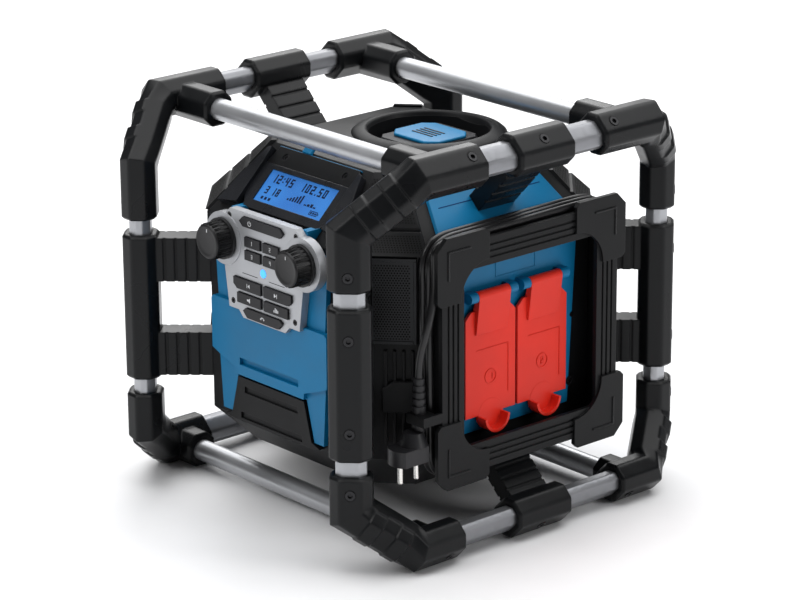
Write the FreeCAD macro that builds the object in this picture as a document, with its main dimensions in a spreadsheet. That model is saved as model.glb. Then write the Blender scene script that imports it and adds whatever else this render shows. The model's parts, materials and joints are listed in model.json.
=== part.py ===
import FreeCAD, Part
import Sketcher
import math
import os
import re

from FreeCAD import Placement, Rotation, Vector

# Jobsite radio in a tube cage. Millimetres, +Z up, the front with the display faces -Y.
# The origin is on the floor, in the middle of the cage's footprint.

os.makedirs("parts", exist_ok=True)
doc = FreeCAD.newDocument("jobsite_radio")
sheet = doc.addObject("Spreadsheet::Sheet", "Sizes")

SIZES = [
    # Tube cage
    ("post_half_x", 148.5), ("post_half_y", 189), ("side_half_x", 182), ("top_axis_z", 362), ("low_axis_z", 20),
    ("top_cross_y", 114), ("low_cross_y", 122.5), ("top_cross_z", 359), ("low_cross_z", 16.2),
    ("tube_width", 28), ("tube_thick", 20), ("tube_wall", 2), ("cross_tube_dia", 20.5), ("tube_gap", 0.15),
    ("elbow_width", 38.6), ("elbow_thick", 33), ("cross_sleeve_dia", 33), ("collar_bevel", 2.2),
    ("top_bend_drop", 46.5), ("low_bend_rise", 39), ("top_bend_back", 51), ("low_bend_back", 46.5),
    ("collar_top_z", 265), ("collar_low_z", 95), ("top_leg_end_y", 71), ("low_leg_end_y", 98),
    ("top_cross_end_x", 122), ("low_cross_end_x", 150), ("tube_insert", 34), ("cross_insert", 18),
    ("band_proud", 2.4), ("band_length", 15),
    ("sleeve_low_z", 110), ("sleeve_top_z", 250), ("bracket_half", 33),
    ("arm_thick", 24), ("arm_height", 42), ("arm_low_z", 113), ("arm_top_z", 205),
    ("bracket_arm_width", 44), ("bracket_arm_thick", 17), ("rib_depth", 1.6), ("rib_width", 2.6),
    ("cage_screw_dia", 9), ("cage_screw_proud", 0.6), ("socket_dia", 4.6), ("socket_deep", 2.2),
    ("sleeve_screw_offset", 42.8), ("collar_screw_inset", 15),
    # Body shell
    ("body_half_x", 150), ("body_half_y", 151), ("corner_front_x", 93), ("corner_side_y", 98),
    ("body_floor_z", 46), ("body_chamfer", 38), ("eave_z", 276), ("roof_z", 334), ("roof_inset", 60), ("shell_wall", 3.5),
    ("seat_gap", 0.1), ("run_gap", 0.35),
    ("guard_thick", 4), ("well_y", 37), ("well_radius", 57), ("well_floor_z", 272), ("well_wall", 3),
    # Front
    ("bezel_thick", 5), ("block_proud", 4), ("front_half", 80), ("block_half", 82), ("block_low_z", 145), ("block_top_z", 199),
    ("bezel_top_z", 270), ("leg_low_z", 90), ("bass_top_half", 47), ("bass_low_half", 58), ("bass_top_z", 127),
    ("slot_half", 42), ("slot_low_z", 140), ("slot_height", 7), ("slot_deep", 4),
    ("plate_thick", 4), ("plate_low_z", 196), ("plate_top_z", 291), ("plate_half_low", 50), ("plate_half_top", 46),
    ("knob_x", 56), ("knob_z", 260), ("knob_radius", 17.5), ("knob_length", 18), ("knob_ring", 25), ("shaft_radius", 3),
    ("button_proud", 2.2), ("button_back", 1.5), ("light_radius", 4), ("light_z", 238.5),
    ("phone_opening", 29), ("plate_notch", 35),
    ("display_half", 47), ("display_height", 34), ("display_low", 22), ("bezel_half", 60), ("bezel_low", 13), ("bezel_top", 61),
    ("slope_thick", 3), ("cheek_thick", 7), ("wedge_top_z", 289), ("wedge_half", 54), ("strip_top", 80), ("strip_thick", 2.4),
    # Power side
    ("panel_half", 80), ("panel_top_half", 66), ("panel_low_half", 70), ("panel_low_z", 100), ("panel_thick", 3),
    ("panel_slope_top_z", 313), ("cover_width", 61), ("cover_gap", 3), ("cover_low_z", 116), ("cover_top_z", 216),
    ("cover_thick", 3), ("cover_hinge_x", 160.5), ("cover_hinge_z", 230), ("hinge_pin_radius", 1.5), ("barrel_radius", 5),
    ("ear_width", 9), ("socket_radius", 20), ("socket_pocket", 18), ("socket_ring", 25), ("socket_z", 166),
    ("pull_width", 30), ("pull_reach", 13),
    # Cord holder
    ("ring_mid_z", 182.5), ("ring_half_y", 105), ("ring_half_z", 107), ("ring_wall", 3), ("ring_corner", 22),
    ("flange_x", 176.5), ("flange_thick", 4.5), ("pad_half_y", 115.5), ("pad_half_z", 117.5), ("pad_size", 62), ("pad_arc", 34),
    ("pad_cut", 11), ("rail_half_y", 108), ("rail_half_z", 108.5), ("rail_width", 26), ("rail_set_back", 2.5),
    ("cord_dia", 7.2), ("cord_pitch", 7.7), ("cord_turns", 2), ("cord_gap", 0.5), ("cord_x", 169.5), ("gland_z", 172), ("gland_radius", 5.4),
    ("plug_x", 163), ("plug_y", -135), ("plug_low_z", 96), ("plug_height", 27), ("plug_radius", 18.5), ("pin_spacing", 19),
    ("pin_radius", 2.4), ("pin_length", 19), ("relief_top_z", 172), ("relief_radius", 6.2), ("relief_y", -122),
    # Rear and left side
    ("rear_half", 78), ("rear_low_z", 92), ("rear_top_z", 268), ("left_half", 80), ("left_low_z", 100), ("left_top_z", 270),
    ("bay_half", 46), ("bay_low_z", 132), ("bay_top_z", 226), ("bay_deep", 26), ("door_thick", 4),
    # Battery and inner pieces
    ("battery_width", 74), ("battery_length", 84), ("battery_height", 58),
    ("speaker_radius", 29), ("speaker_z", 234), ("grille_width", 65), ("grille_height", 80), ("grille_thick", 2.5), ("speaker_deep", 30),
    ("woofer_radius", 40), ("woofer_z", 120), ("woofer_deep", 46),
    ("board_thick", 1.6), ("board_y", -118), ("spacer_radius", 3.5), ("spacer_x", 62), ("spacer_z", 207),
    ("spacer_step", 33), ("supply_length", 110), ("supply_width", 70), ("supply_height", 42),
]

for row, (alias, value) in enumerate(SIZES, 1):
    sheet.set("A%d" % row, alias)
    sheet.set("B%d" % row, str(value))
    sheet.setAlias("B%d" % row, alias)
doc.recompute()


class Sheet:
    """The sizes of the sheet as plain numbers, for shapes that are computed."""

    def __getattr__(self, alias):
        return float(sheet.get(alias))


D = Sheet()
NAMES = sorted((alias for alias, value in SIZES), key=len, reverse=True)
WORD = re.compile(r"\b(%s)\b" % "|".join(NAMES))
SIDES = ((-1, "left"), (1, "right"))
ENDS = ((-1, "front"), (1, "rear"))
LEVELS = ((-1, "bottom"), (1, "top"))
nodes = []


# Small helpers

def bound(text):
    """An expression on the sheet's sizes, written with their bare names."""
    return WORD.sub(r"Sizes.\1", str(text))


def number(text):
    """The value of such an expression now, to start a sketch from."""
    result = sheet.evalExpression(str(text))
    return float(getattr(result, "Value", result))


def keep(name, obj):
    """Registers a finished sub-part under the name of its node."""
    obj.Label = name
    nodes.append((name, obj))
    return obj


def place(obj, at):
    for axis, text in zip("xyz", at):
        obj.setExpression(".Placement.Base." + axis, bound(text))


def box(name, size, at):
    obj = doc.addObject("Part::Box", name)
    for prop, text in zip(("Length", "Width", "Height"), size):
        obj.setExpression(prop, bound(text))
    place(obj, at)
    return obj


AXES = {"z": Rotation(), "x": Rotation(Vector(0, 1, 0), 90), "y": Rotation(Vector(1, 0, 0), 90)}


def cylinder(name, radius, height, at, axis="z"):
    """Axis x runs to +X, y runs to -Y and z runs to +Z from the point at."""
    obj = doc.addObject("Part::Cylinder", name)
    obj.setExpression("Radius", bound(radius))
    obj.setExpression("Height", bound(height))
    obj.Placement = Placement(Vector(), AXES[axis])
    place(obj, at)
    return obj


def cone(name, low_radius, top_radius, height, at, axis="z"):
    obj = doc.addObject("Part::Cone", name)
    obj.setExpression("Radius1", bound(low_radius))
    obj.setExpression("Radius2", bound(top_radius))
    obj.setExpression("Height", bound(height))
    obj.Placement = Placement(Vector(), AXES[axis])
    place(obj, at)
    return obj


def fuse(name, shapes):
    obj = doc.addObject("Part::MultiFuse", name)
    obj.Shapes = shapes
    obj.Refine = True
    return obj


def cut(name, base, tools):
    obj = doc.addObject("Part::Cut", name)
    obj.Base = base
    obj.Tool = tools[0] if len(tools) == 1 else fuse(name + "_tools", tools)
    return obj


def group(name, shapes):
    obj = doc.addObject("Part::Compound", name)
    obj.Links = shapes
    return obj


def shape(name, solid):
    obj = doc.addObject("Part::Feature", name)
    obj.Shape = solid
    return obj


def body_plane(body, role):
    return next(feature for feature in body.Origin.OriginFeatures if feature.Role == role)


def outline_sketch(body, name, role, points):
    """A closed outline in a plane of the body, each corner bound to the sheet."""
    sketch = body.newObject("Sketcher::SketchObject", name)
    sketch.AttachmentSupport = [(body_plane(body, role), "")]
    sketch.MapMode = "FlatFace"
    start = [Vector(number(x), number(y), 0) for x, y in points]
    count = len(points)
    for i in range(count):
        sketch.addGeometry(Part.LineSegment(start[i], start[(i + 1) % count]))
    for i in range(count):
        sketch.addConstraint(Sketcher.Constraint("Coincident", i, 2, (i + 1) % count, 1))
    for i, corner in enumerate(points):
        for kind, value, text in zip(("DistanceX", "DistanceY"), (start[i].x, start[i].y), corner):
            index = sketch.addConstraint(Sketcher.Constraint(kind, -1, 1, i, 1, value))
            sketch.setExpression("Constraints[%d]" % index, bound(text))
    return sketch


def pad(name, role, points, depth, at=(0, 0, 0)):
    """An outline padded along the normal of its plane: +Z, -Y for XZ_Plane and +X for YZ_Plane."""
    body = doc.addObject("PartDesign::Body", name)
    feature_sketch = outline_sketch(body, name + "_outline", role, points)
    feature = body.newObject("PartDesign::Pad", name + "_pad")
    feature.Profile = feature_sketch
    feature.setExpression("Length", bound(depth))
    place(body, at)
    return body


def mirrored(points):
    """The right half of an outline, from top to bottom, completed by its mirror image."""
    return list(points) + [("-(%s)" % x, y) for x, y in reversed(points)]


def along(edge, axis):
    """True for a straight edge that runs along the axis."""
    if not isinstance(edge.Curve, (Part.Line, Part.LineSegment)):
        return False
    run = edge.Vertexes[-1].Point - edge.Vertexes[0].Point
    return abs(abs(run.normalize().dot(axis)) - 1) < 1e-6


# Rounded tube sections and the parts lofted through them

def section(width, thick, cut_share=0.28, push=0.0, rounding=0.3):
    """Control points (across, outward) of a flattened octagon with soft corners.

    push moves the outward half out, as a grip band does."""
    w, t = width / 2, thick / 2
    c = cut_share * thick
    corners = [(w, t - c), (w - c, t), (-w + c, t), (-w, t - c), (-w, -t + c), (-w + c, -t), (w - c, -t), (w, -t + c)]
    points = []
    for i, (x, y) in enumerate(corners):
        for other in (corners[i - 1], (x, y), corners[(i + 1) % 8]):
            px = x + (other[0] - x) * rounding
            py = y + (other[1] - y) * rounding
            points.append((px, py + (push if py > 0.2 * t else 0.0)))
    return points


def ring_wire(points):
    """One smooth closed edge that rounds the corners of its control points."""
    curve = Part.BSplineCurve()
    count = len(points)
    curve.buildFromPolesMultsKnots(points, [1] * (count + 1), [float(k) for k in range(count + 1)], True, 2)
    return Part.Wire([curve.toShape()])


def set_out(points, at, across, outward):
    return [at + across * x + outward * y for x, y in points]


def onto_plane(points, direction, at, normal):
    """Slides each point along direction until it lies in the plane."""
    slope = direction.dot(normal)
    return [p + direction * ((at - p).dot(normal) / slope) for p in points]


def straight_tube(start, end, points, outward):
    """A prism of the section between two points."""
    run = end - start
    across = run.normalize().cross(outward)
    wire = ring_wire(set_out(points, start, across, outward))
    return Part.makeLoft([wire, ring_wire(set_out(points, end, across, outward))], True, True)


def collared_tube(start, end, width, thick, outward, **look):
    """A sleeve whose two ends are bevelled."""
    run = Vector(end - start).normalize()
    across = run.cross(outward)
    bevel = D.collar_bevel
    small = section(width - 2 * bevel, thick - 2 * bevel, **look)
    full = section(width, thick, **look)
    stations = [(start, small), (start + run * bevel, full), (end - run * bevel, full), (end, small)]
    wires = [ring_wire(set_out(points, at, across, outward)) for at, points in stations]
    return Part.makeLoft(wires, True, True)


def tube_outline(grow=0.0):
    return section(D.tube_width + 2 * grow, D.tube_thick + 2 * grow, 0.34)


def tube_solid(start, end, outward, grow=0.0, hollow=True):
    outer = straight_tube(Vector(start), Vector(end), tube_outline(grow), outward)
    if not hollow:
        return outer
    return outer.cut(straight_tube(Vector(start), Vector(end), tube_outline(-D.tube_wall), outward))


def round_tube(start, end, radius):
    run = end - start
    return Part.makeCylinder(radius, run.Length, start, run)


def torx_screw(at, outward):
    """A screw head that sits a little proud, with its drive socket and a short shank."""
    head = Part.makeCylinder(D.cage_screw_dia / 2, 3.0, at - outward * (3.0 - D.cage_screw_proud), outward)
    shank = Part.makeCylinder(D.cage_screw_dia / 4, 6.0, at - outward * 8.5, outward)
    socket = Part.makeCylinder(D.socket_dia / 2, D.socket_deep + 1, at + outward * (D.cage_screw_proud - D.socket_deep), outward)
    return head.fuse(shank).cut(socket)


def screw_seat(at, outward):
    """The hole for such a screw in the piece that it holds."""
    gap = D.seat_gap
    head = Part.makeCylinder(D.cage_screw_dia / 2 + gap, 3.0 + gap + 4, at - outward * (3.0 - D.cage_screw_proud + gap), outward)
    shank = Part.makeCylinder(D.cage_screw_dia / 4 + gap, 7.0, at - outward * 8.5 - outward * gap, outward)
    return head.fuse(shank)


# The cage's layout

def corner_outward(side, end):
    """The direction that a post's wide face looks in."""
    return Vector(side, end, 0).normalize()


def side_outward(side, level):
    """The direction that a side tube's wide face looks in."""
    return Vector(side, 0, level).normalize()


def level_values(level):
    """Heights and lengths of the elbows at the bottom, -1, or the top, 1."""
    if level > 0:
        return (D.top_axis_z, D.top_axis_z - D.top_bend_drop, D.top_bend_back, D.collar_top_z, D.top_leg_end_y,
                D.top_cross_y, D.top_cross_z, D.top_cross_end_x)
    return (D.low_axis_z, D.low_axis_z + D.low_bend_rise, D.low_bend_back, D.collar_low_z, D.low_leg_end_y,
            D.low_cross_y, D.low_cross_z, D.low_cross_end_x)


screws = []
seats = []


def add_screw(at, outward):
    """Notes a screw and gives back the seat to cut from the piece that it holds."""
    screws.append(torx_screw(at, outward))
    seats.append(screw_seat(at, outward))
    return seats[-1]


def drilled(tube):
    """A tube with a hole for the end of each screw that reaches it."""
    near = [seat for seat in seats if seat.BoundBox.intersect(tube.BoundBox)]
    return tube.cut(near) if near else tube


def post_tubes():
    solids = []
    for side, side_name in SIDES:
        for end, end_name in ENDS:
            x, y = side * D.post_half_x, end * D.post_half_y
            low, top = D.collar_low_z - D.tube_insert, D.collar_top_z + D.tube_insert
            solids.append(drilled(tube_solid((x, y, low), (x, y, top), corner_outward(side, end))))
    keep("post_tubes", shape("post_tubes", Part.makeCompound(solids)))


def side_tubes():
    solids = []
    for level, name in LEVELS:
        z, bend_z, back, collar, leg_end = level_values(level)[:5]
        for side, side_name in SIDES:
            x, y = side * D.side_half_x, leg_end + D.tube_insert
            solids.append(drilled(tube_solid((x, -y, z), (x, y, z), side_outward(side, level))))
    keep("side_tubes", shape("side_tubes", Part.makeCompound(solids)))


def cross_tubes():
    solids = []
    for level, name in LEVELS:
        cross_y, cross_z, cross_x = level_values(level)[5:]
        for end, end_name in ENDS:
            half = cross_x + D.cross_insert
            start, stop = Vector(-half, end * cross_y, cross_z), Vector(half, end * cross_y, cross_z)
            outer = round_tube(start, stop, D.cross_tube_dia / 2)
            solids.append(outer.cut(round_tube(start, stop, D.cross_tube_dia / 2 - D.tube_wall)))
    keep("cross_tubes", shape("cross_tubes", Part.makeCompound(solids)))


def elbow(side, end, level):
    """A three-way corner: post leg, slanted grip, side leg and a branch for the cross tube."""
    axis_z, bend_z, back, collar_z, leg_end, cross_y, cross_z, cross_x = level_values(level)
    post = Vector(side * D.post_half_x, end * D.post_half_y, 0)
    foot = Vector(post.x, post.y, collar_z)
    bend_low = Vector(post.x, post.y, bend_z)
    bend_top = Vector(side * D.side_half_x, end * (D.post_half_y - back), axis_z)
    tip = Vector(bend_top.x, end * leg_end, axis_z)
    rise = Vector(0, 0, level)
    slant = (bend_top - bend_low).normalize()
    reach = Vector(0, -end, 0)
    out_post, out_side = corner_outward(side, end), side_outward(side, level)
    mid_out = (out_post + out_side)
    mid_out = (mid_out - slant * mid_out.dot(slant)).normalize()
    bevel = D.collar_bevel
    full = section(D.elbow_width, D.elbow_thick)
    small = section(D.elbow_width - 2 * bevel, D.elbow_thick - 2 * bevel)
    proud = section(D.elbow_width, D.elbow_thick, push=D.band_proud)

    def ring(at, direction, outward, points):
        return set_out(points, at, direction.cross(outward), outward)

    stations = [ring(foot, rise, out_post, small), ring(foot + rise * bevel, rise, out_post, full)]
    stations.append(onto_plane(ring(bend_low, rise, out_post, full), rise, bend_low, (rise + slant).normalize()))
    length = (bend_top - bend_low).Length
    pitch = (length - 2 * D.band_length) / 3
    for i in range(2):
        start = pitch * (i + 1) + D.band_length * i
        for step, points in ((0, full), (1.5, proud), (D.band_length - 1.5, proud), (D.band_length, full)):
            stations.append(ring(bend_low + slant * (start + step), slant, mid_out, points))
    stations.append(onto_plane(ring(bend_top, reach, out_side, full), reach, bend_top, (slant + reach).normalize()))
    stations.append(ring(tip - reach * bevel, reach, out_side, full))
    stations.append(ring(tip, reach, out_side, small))
    solid = Part.makeLoft([ring_wire(points) for points in stations], True, True)

    inward = Vector(-side, 0, 0)
    branch_start = Vector(bend_top.x, end * cross_y, cross_z)
    branch_tip = Vector(side * cross_x, end * cross_y, cross_z)
    dia = D.cross_sleeve_dia
    solid = solid.fuse(collared_tube(branch_start, branch_tip, dia, dia, Vector(0, 0, 1)))
    gap = D.tube_gap
    deep = D.tube_insert + gap
    solid = solid.cut(tube_solid(foot - rise, foot + rise * deep, out_post, gap, False))
    solid = solid.cut(tube_solid(tip + reach, tip - reach * deep, out_side, gap, False))
    solid = solid.cut(round_tube(branch_tip + inward, branch_tip - inward * (D.cross_insert + gap), D.cross_tube_dia / 2 + gap))
    for at, out in ((foot + rise * D.collar_screw_inset, out_post), (tip - reach * D.collar_screw_inset, out_side)):
        solid = solid.cut(add_screw(at + out * (D.elbow_thick / 2), out))
    return above_ground(solid)


def above_ground(solid):
    """The solid trimmed level with the ground, so that it stands on a true plane."""
    reach = 2 * D.side_half_x
    return solid.cut(Part.makeBox(2 * reach, 2 * reach, reach, Vector(-reach, -reach, -reach)))


def elbows():
    for level, level_name in LEVELS:
        for end, end_name in ENDS:
            for side, side_name in SIDES:
                name = "elbow_%s_%s_%s" % (level_name, end_name, side_name)
                keep(name, shape(name, elbow(side, end, level)))


def corner_normal():
    """The outward direction of the body's right rear corner face, and its distance from the middle."""
    run = Vector(D.body_half_x - D.corner_front_x, D.corner_side_y - D.body_half_y, 0)
    normal = Vector(-run.y, run.x, 0).normalize()
    return normal, normal.dot(Vector(D.corner_front_x, D.body_half_y, 0))


def ribbed_arm(start, end, across, up, width, height):
    """A flat arm from start to end with grooves across both broad sides."""
    run = end - start
    length = run.Length
    run.normalize()
    corner = start - across * (width / 2) - up * (height / 2)
    solid = prism(corner, across * width, up * height, run * length)
    count = 4
    for i in range(count):
        at = corner + run * (length * (0.32 + 0.16 * i))
        for shift in (-across * 0.5, across * (width - D.rib_depth)):
            groove = prism(at + shift - up, across * (D.rib_depth + 0.5), up * (height + 2), run * D.rib_width)
            solid = solid.cut(groove)
    return solid


def prism(corner, first, second, third):
    """A skewed or turned block from a corner and three edges."""
    face = Part.Face(Part.makePolygon([corner, corner + first, corner + first + second, corner + second, corner]))
    return face.extrude(third)


def post_sleeve(side, end):
    """The mid sleeve of a post, with two arms to the body's corner face."""
    x, y = side * D.post_half_x, end * D.post_half_y
    out = corner_outward(side, end)
    low, top = Vector(x, y, D.sleeve_low_z), Vector(x, y, D.sleeve_top_z)
    solid = collared_tube(low, top, D.elbow_width, D.elbow_thick, out)
    normal, distance = corner_normal()
    normal = Vector(normal.x * side, normal.y * end, 0)
    across = Vector(-normal.y, normal.x, 0)
    post = Vector(x, y, 0)
    reach = post.dot(normal) - distance - D.seat_gap
    for z in (D.arm_low_z, D.arm_top_z):
        start = Vector(x, y, z + D.arm_height / 2)
        solid = solid.fuse(ribbed_arm(start, start - normal * reach, across, Vector(0, 0, 1), D.arm_thick, D.arm_height))
    solid = solid.cut(tube_solid((x, y, D.sleeve_low_z - 1), (x, y, D.sleeve_top_z + 1), out, D.tube_gap, False))
    middle = (D.sleeve_low_z + D.sleeve_top_z) / 2
    for offset in (-D.sleeve_screw_offset, D.sleeve_screw_offset):
        solid = solid.cut(add_screw(Vector(x, y, middle + offset) + out * (D.elbow_thick / 2), out))
    return solid


def post_sleeves():
    for end, end_name in ENDS:
        for side, side_name in SIDES:
            name = "post_sleeve_%s_%s" % (end_name, side_name)
            keep(name, shape(name, post_sleeve(side, end)))


def tube_bracket(side, level):
    """A sleeve on a side tube with one ribbed arm to the body's slope."""
    axis_z = level_values(level)[0]
    out = side_outward(side, level)
    centre = Vector(side * D.side_half_x, 0, axis_z)
    half = Vector(0, D.bracket_half, 0)
    solid = collared_tube(centre - half, centre + half, D.elbow_width, D.elbow_thick, out)
    if level > 0:
        on_slope = Vector(side * D.body_half_x, 0, D.eave_z)
        slope = Vector(side * (D.roof_z - D.eave_z), 0, D.roof_inset).normalize()
    else:
        on_slope = Vector(side * D.body_half_x, 0, D.body_floor_z + D.body_chamfer)
        slope = Vector(side, 0, -1).normalize()
    covered = D.panel_thick if side > 0 and level > 0 else 0.0
    reach = (centre - on_slope).dot(slope) - D.seat_gap - covered
    along_y = Vector(0, 1, 0)
    up = slope.cross(along_y)
    arm = ribbed_arm(centre, centre - slope * reach, up, along_y, D.bracket_arm_thick, D.bracket_arm_width)
    solid = solid.fuse(arm)
    solid = solid.cut(tube_solid(centre - half * 1.05, centre + half * 1.05, out, D.tube_gap, False))
    return solid.cut(add_screw(centre + out * (D.elbow_thick / 2), out))


def tube_brackets():
    for level, level_name in LEVELS:
        for side, side_name in SIDES:
            name = "bracket_%s_%s" % (level_name, side_name)
            keep(name, shape(name, tube_bracket(side, level)))


# Body shell

def octagon(inset, z):
    """The body's plan outline at a height, moved in by inset on all eight faces."""
    normal, distance = corner_normal()
    half_x, half_y = D.body_half_x - inset, D.body_half_y - inset
    distance -= inset
    front_x = (distance - normal.y * half_y) / normal.x
    side_y = (distance - normal.x * half_x) / normal.y
    quarter = [(front_x, half_y), (half_x, side_y)]
    points = quarter + [(x, -y) for x, y in reversed(quarter)] + [(-x, -y) for x, y in quarter]
    points += [(-x, y) for x, y in reversed(quarter)]
    corners = [Vector(x, y, z) for x, y in points]
    return Part.makePolygon(corners + corners[:1])


def octagon_loft(levels):
    return Part.makeLoft([octagon(inset, z) for z, inset in levels], True, True)


def corner_cutter(side, end, z, radius, length):
    """A cylinder through a corner face, square to it."""
    normal, distance = corner_normal()
    normal = Vector(normal.x * side, normal.y * end, 0)
    foot = normal * (distance + 1) + Vector(0, 0, z)
    return Part.makeCylinder(radius, length + 1, foot, -normal)


def main_housing():
    """The octagonal tub from the floor to the eaves, open at the top."""
    wall = D.shell_wall
    low, knee = D.body_floor_z, D.body_floor_z + D.body_chamfer
    outer = octagon_loft([(low, D.body_chamfer), (knee, 0), (D.eave_z - D.seat_gap, 0)])
    inner = octagon_loft([(low + wall, D.body_chamfer + wall * 0.4), (knee, wall), (D.eave_z + 1, wall)])
    solid = outer.cut(inner)
    for side, side_name in SIDES:
        for end, end_name in ENDS:
            solid = solid.cut(corner_cutter(side, end, D.speaker_z, D.speaker_radius, 12))
    woofer = Part.makeCylinder(D.woofer_radius - 6, 20, Vector(0, -D.body_half_y - 2, D.woofer_z), Vector(0, 1, 0))
    solid = solid.cut(woofer)
    # Openings behind the control panel, the two outlets and the phone bay
    solid = solid.cut(Part.makeBox(92, 20, 78, Vector(-46, -D.body_half_y - 2, D.plate_low_z + 6)))
    solid = solid.cut(Part.makeBox(2 * D.phone_opening, 20, 20, Vector(-D.phone_opening, -D.body_half_y - 2, D.plate_low_z - 6)))
    for x in (-D.knob_x, D.knob_x):
        solid = solid.cut(Part.makeCylinder(D.shaft_radius + 1, 20, Vector(x, -D.body_half_y - 2, D.knob_z), Vector(0, 1, 0)))
    for y in outlet_centres():
        hole = Part.makeCylinder(D.socket_ring + 1, 20, Vector(D.body_half_x - 15, y, D.socket_z), Vector(1, 0, 0))
        solid = solid.cut(hole)
    bay = Part.makeBox(20, 2 * D.bay_half + 8, D.bay_top_z - D.bay_low_z + 8)
    bay.translate(Vector(-D.body_half_x - 2, -D.bay_half - 4, D.bay_low_z - 4))
    solid = solid.cut(bay)
    foot, normal = gland_place()
    collar = Part.makeCone(D.gland_radius, D.gland_radius - 0.8, 4, foot - normal, normal)
    solid = solid.fuse(collar).cut(Part.makeCylinder(D.cord_dia / 2 + D.seat_gap, 30, foot - normal * 15, normal))
    for at in panel_screw_spots():
        solid = solid.cut(screw_seat(at, Vector(1, 0, 0)))
    keep("main_housing", shape("main_housing", solid.removeSplitter()))


def gland_place():
    """Where the mains lead enters the right rear corner face, and the way out of it."""
    normal, distance = corner_normal()
    y = winding_corners()[0]
    foot = Vector((distance - normal.y * y) / normal.x, y, D.gland_z)
    return foot, normal


def panel_screw_spots():
    """The heads of the four screws that hold the side panel."""
    x = D.body_half_x + D.seat_gap + D.panel_thick
    return [Vector(x, y, z) for y in (-73, 73) for z in (120, 262)]


def outlet_centres():
    return (-(D.cover_width + D.cover_gap) / 2, (D.cover_width + D.cover_gap) / 2)


def top_cover():
    """The hipped roof with its round battery well and stepped ridges over the corners."""
    wall = D.shell_wall
    low, top = D.eave_z, D.roof_z
    outer = octagon_loft([(low, 0), (top, D.roof_inset)])
    inner = octagon_loft([(low - 1, wall * 1.3 - 1), (top - wall, D.roof_inset - wall * 0.2)])
    solid = outer.cut(inner)
    centre = Vector(0, D.well_y, D.well_floor_z - D.well_wall)
    tub = Part.makeCylinder(D.well_radius + D.well_wall, top - centre.z - 0.5, centre)
    tub = tub.common(octagon_loft([(D.well_floor_z - 20, 0), (low, 0), (top, D.roof_inset)]))
    solid = solid.fuse([tub] + roof_guards() + [display_strip()])
    hole = Part.makeCylinder(D.well_radius, top, Vector(0, D.well_y, D.well_floor_z))
    keep("top_cover", shape("top_cover", solid.cut(hole).removeSplitter()))


def roof_guards():
    """Thick stepped guards over the roof's four corner facets."""
    low, top, thick = D.eave_z, D.roof_z, D.guard_thick
    outer = octagon_loft([(low, -thick), (top + thick * 0.4, D.roof_inset - thick)])
    skin = outer.cut(octagon_loft([(low - 1, -1), (top + thick, D.roof_inset + thick)]))
    guards = []
    for side, side_name in SIDES:
        for end, end_name in ENDS:
            rows = [facet_strip(side, end, z, inset) for z, inset in ((low - 1, 0), (top + 8, D.roof_inset + 8))]
            guard = skin.common(Part.makeLoft(rows, True, True))
            for share in (0.3, 0.62):
                z = low + (top - low) * share
                guard = guard.cut(facet_groove(side, end, z, D.roof_inset * share))
            guards.append(guard)
    return guards


def facet_ends(side, end, inset):
    """The two ends of a corner facet at an inset, in plan, and its outward direction."""
    normal, distance = corner_normal()
    half_x, half_y = D.body_half_x - inset, D.body_half_y - inset
    front_x = (distance - inset - normal.y * half_y) / normal.x
    side_y = (distance - inset - normal.x * half_x) / normal.y
    ends = Vector(side * front_x, end * half_y, 0), Vector(side * half_x, end * side_y, 0)
    return ends[0], ends[1], Vector(side * normal.x, end * normal.y, 0)


def facet_strip(side, end, z, inset):
    """A flat outline that covers a corner facet at one height."""
    first, second, facing = facet_ends(side, end, inset)
    rise = Vector(0, 0, z)
    corners = [first - facing * 14, second - facing * 14, second + facing * 12, first + facing * 12]
    corners = [corner + rise for corner in corners]
    return Part.makePolygon(corners + corners[:1])


def facet_groove(side, end, z, inset):
    """A level groove across a corner guard."""
    first, second, facing = facet_ends(side, end, inset)
    along_facet = (second - first).normalize()
    start = first - along_facet * 20 + facing * 1.4 + Vector(0, 0, z)
    return prism(start, along_facet * ((second - first).Length + 40), Vector(0, 0, 3), facing * 20)


def display_strip():
    """The raised strip above the display, with its two screws' seats."""
    outline = both_halves([(D.bezel_half, D.bezel_top + 0.5), (D.bezel_half - 4, D.strip_top)])
    strip = slab(outline, -0.5, D.strip_thick + 0.5)
    for x in (-42, 42):
        strip = strip.cut(Part.makeCylinder(3.5, 5, Vector(x, D.bezel_top + 10, 0.6)))
    return on_slope(strip)


# Front panel

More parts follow.
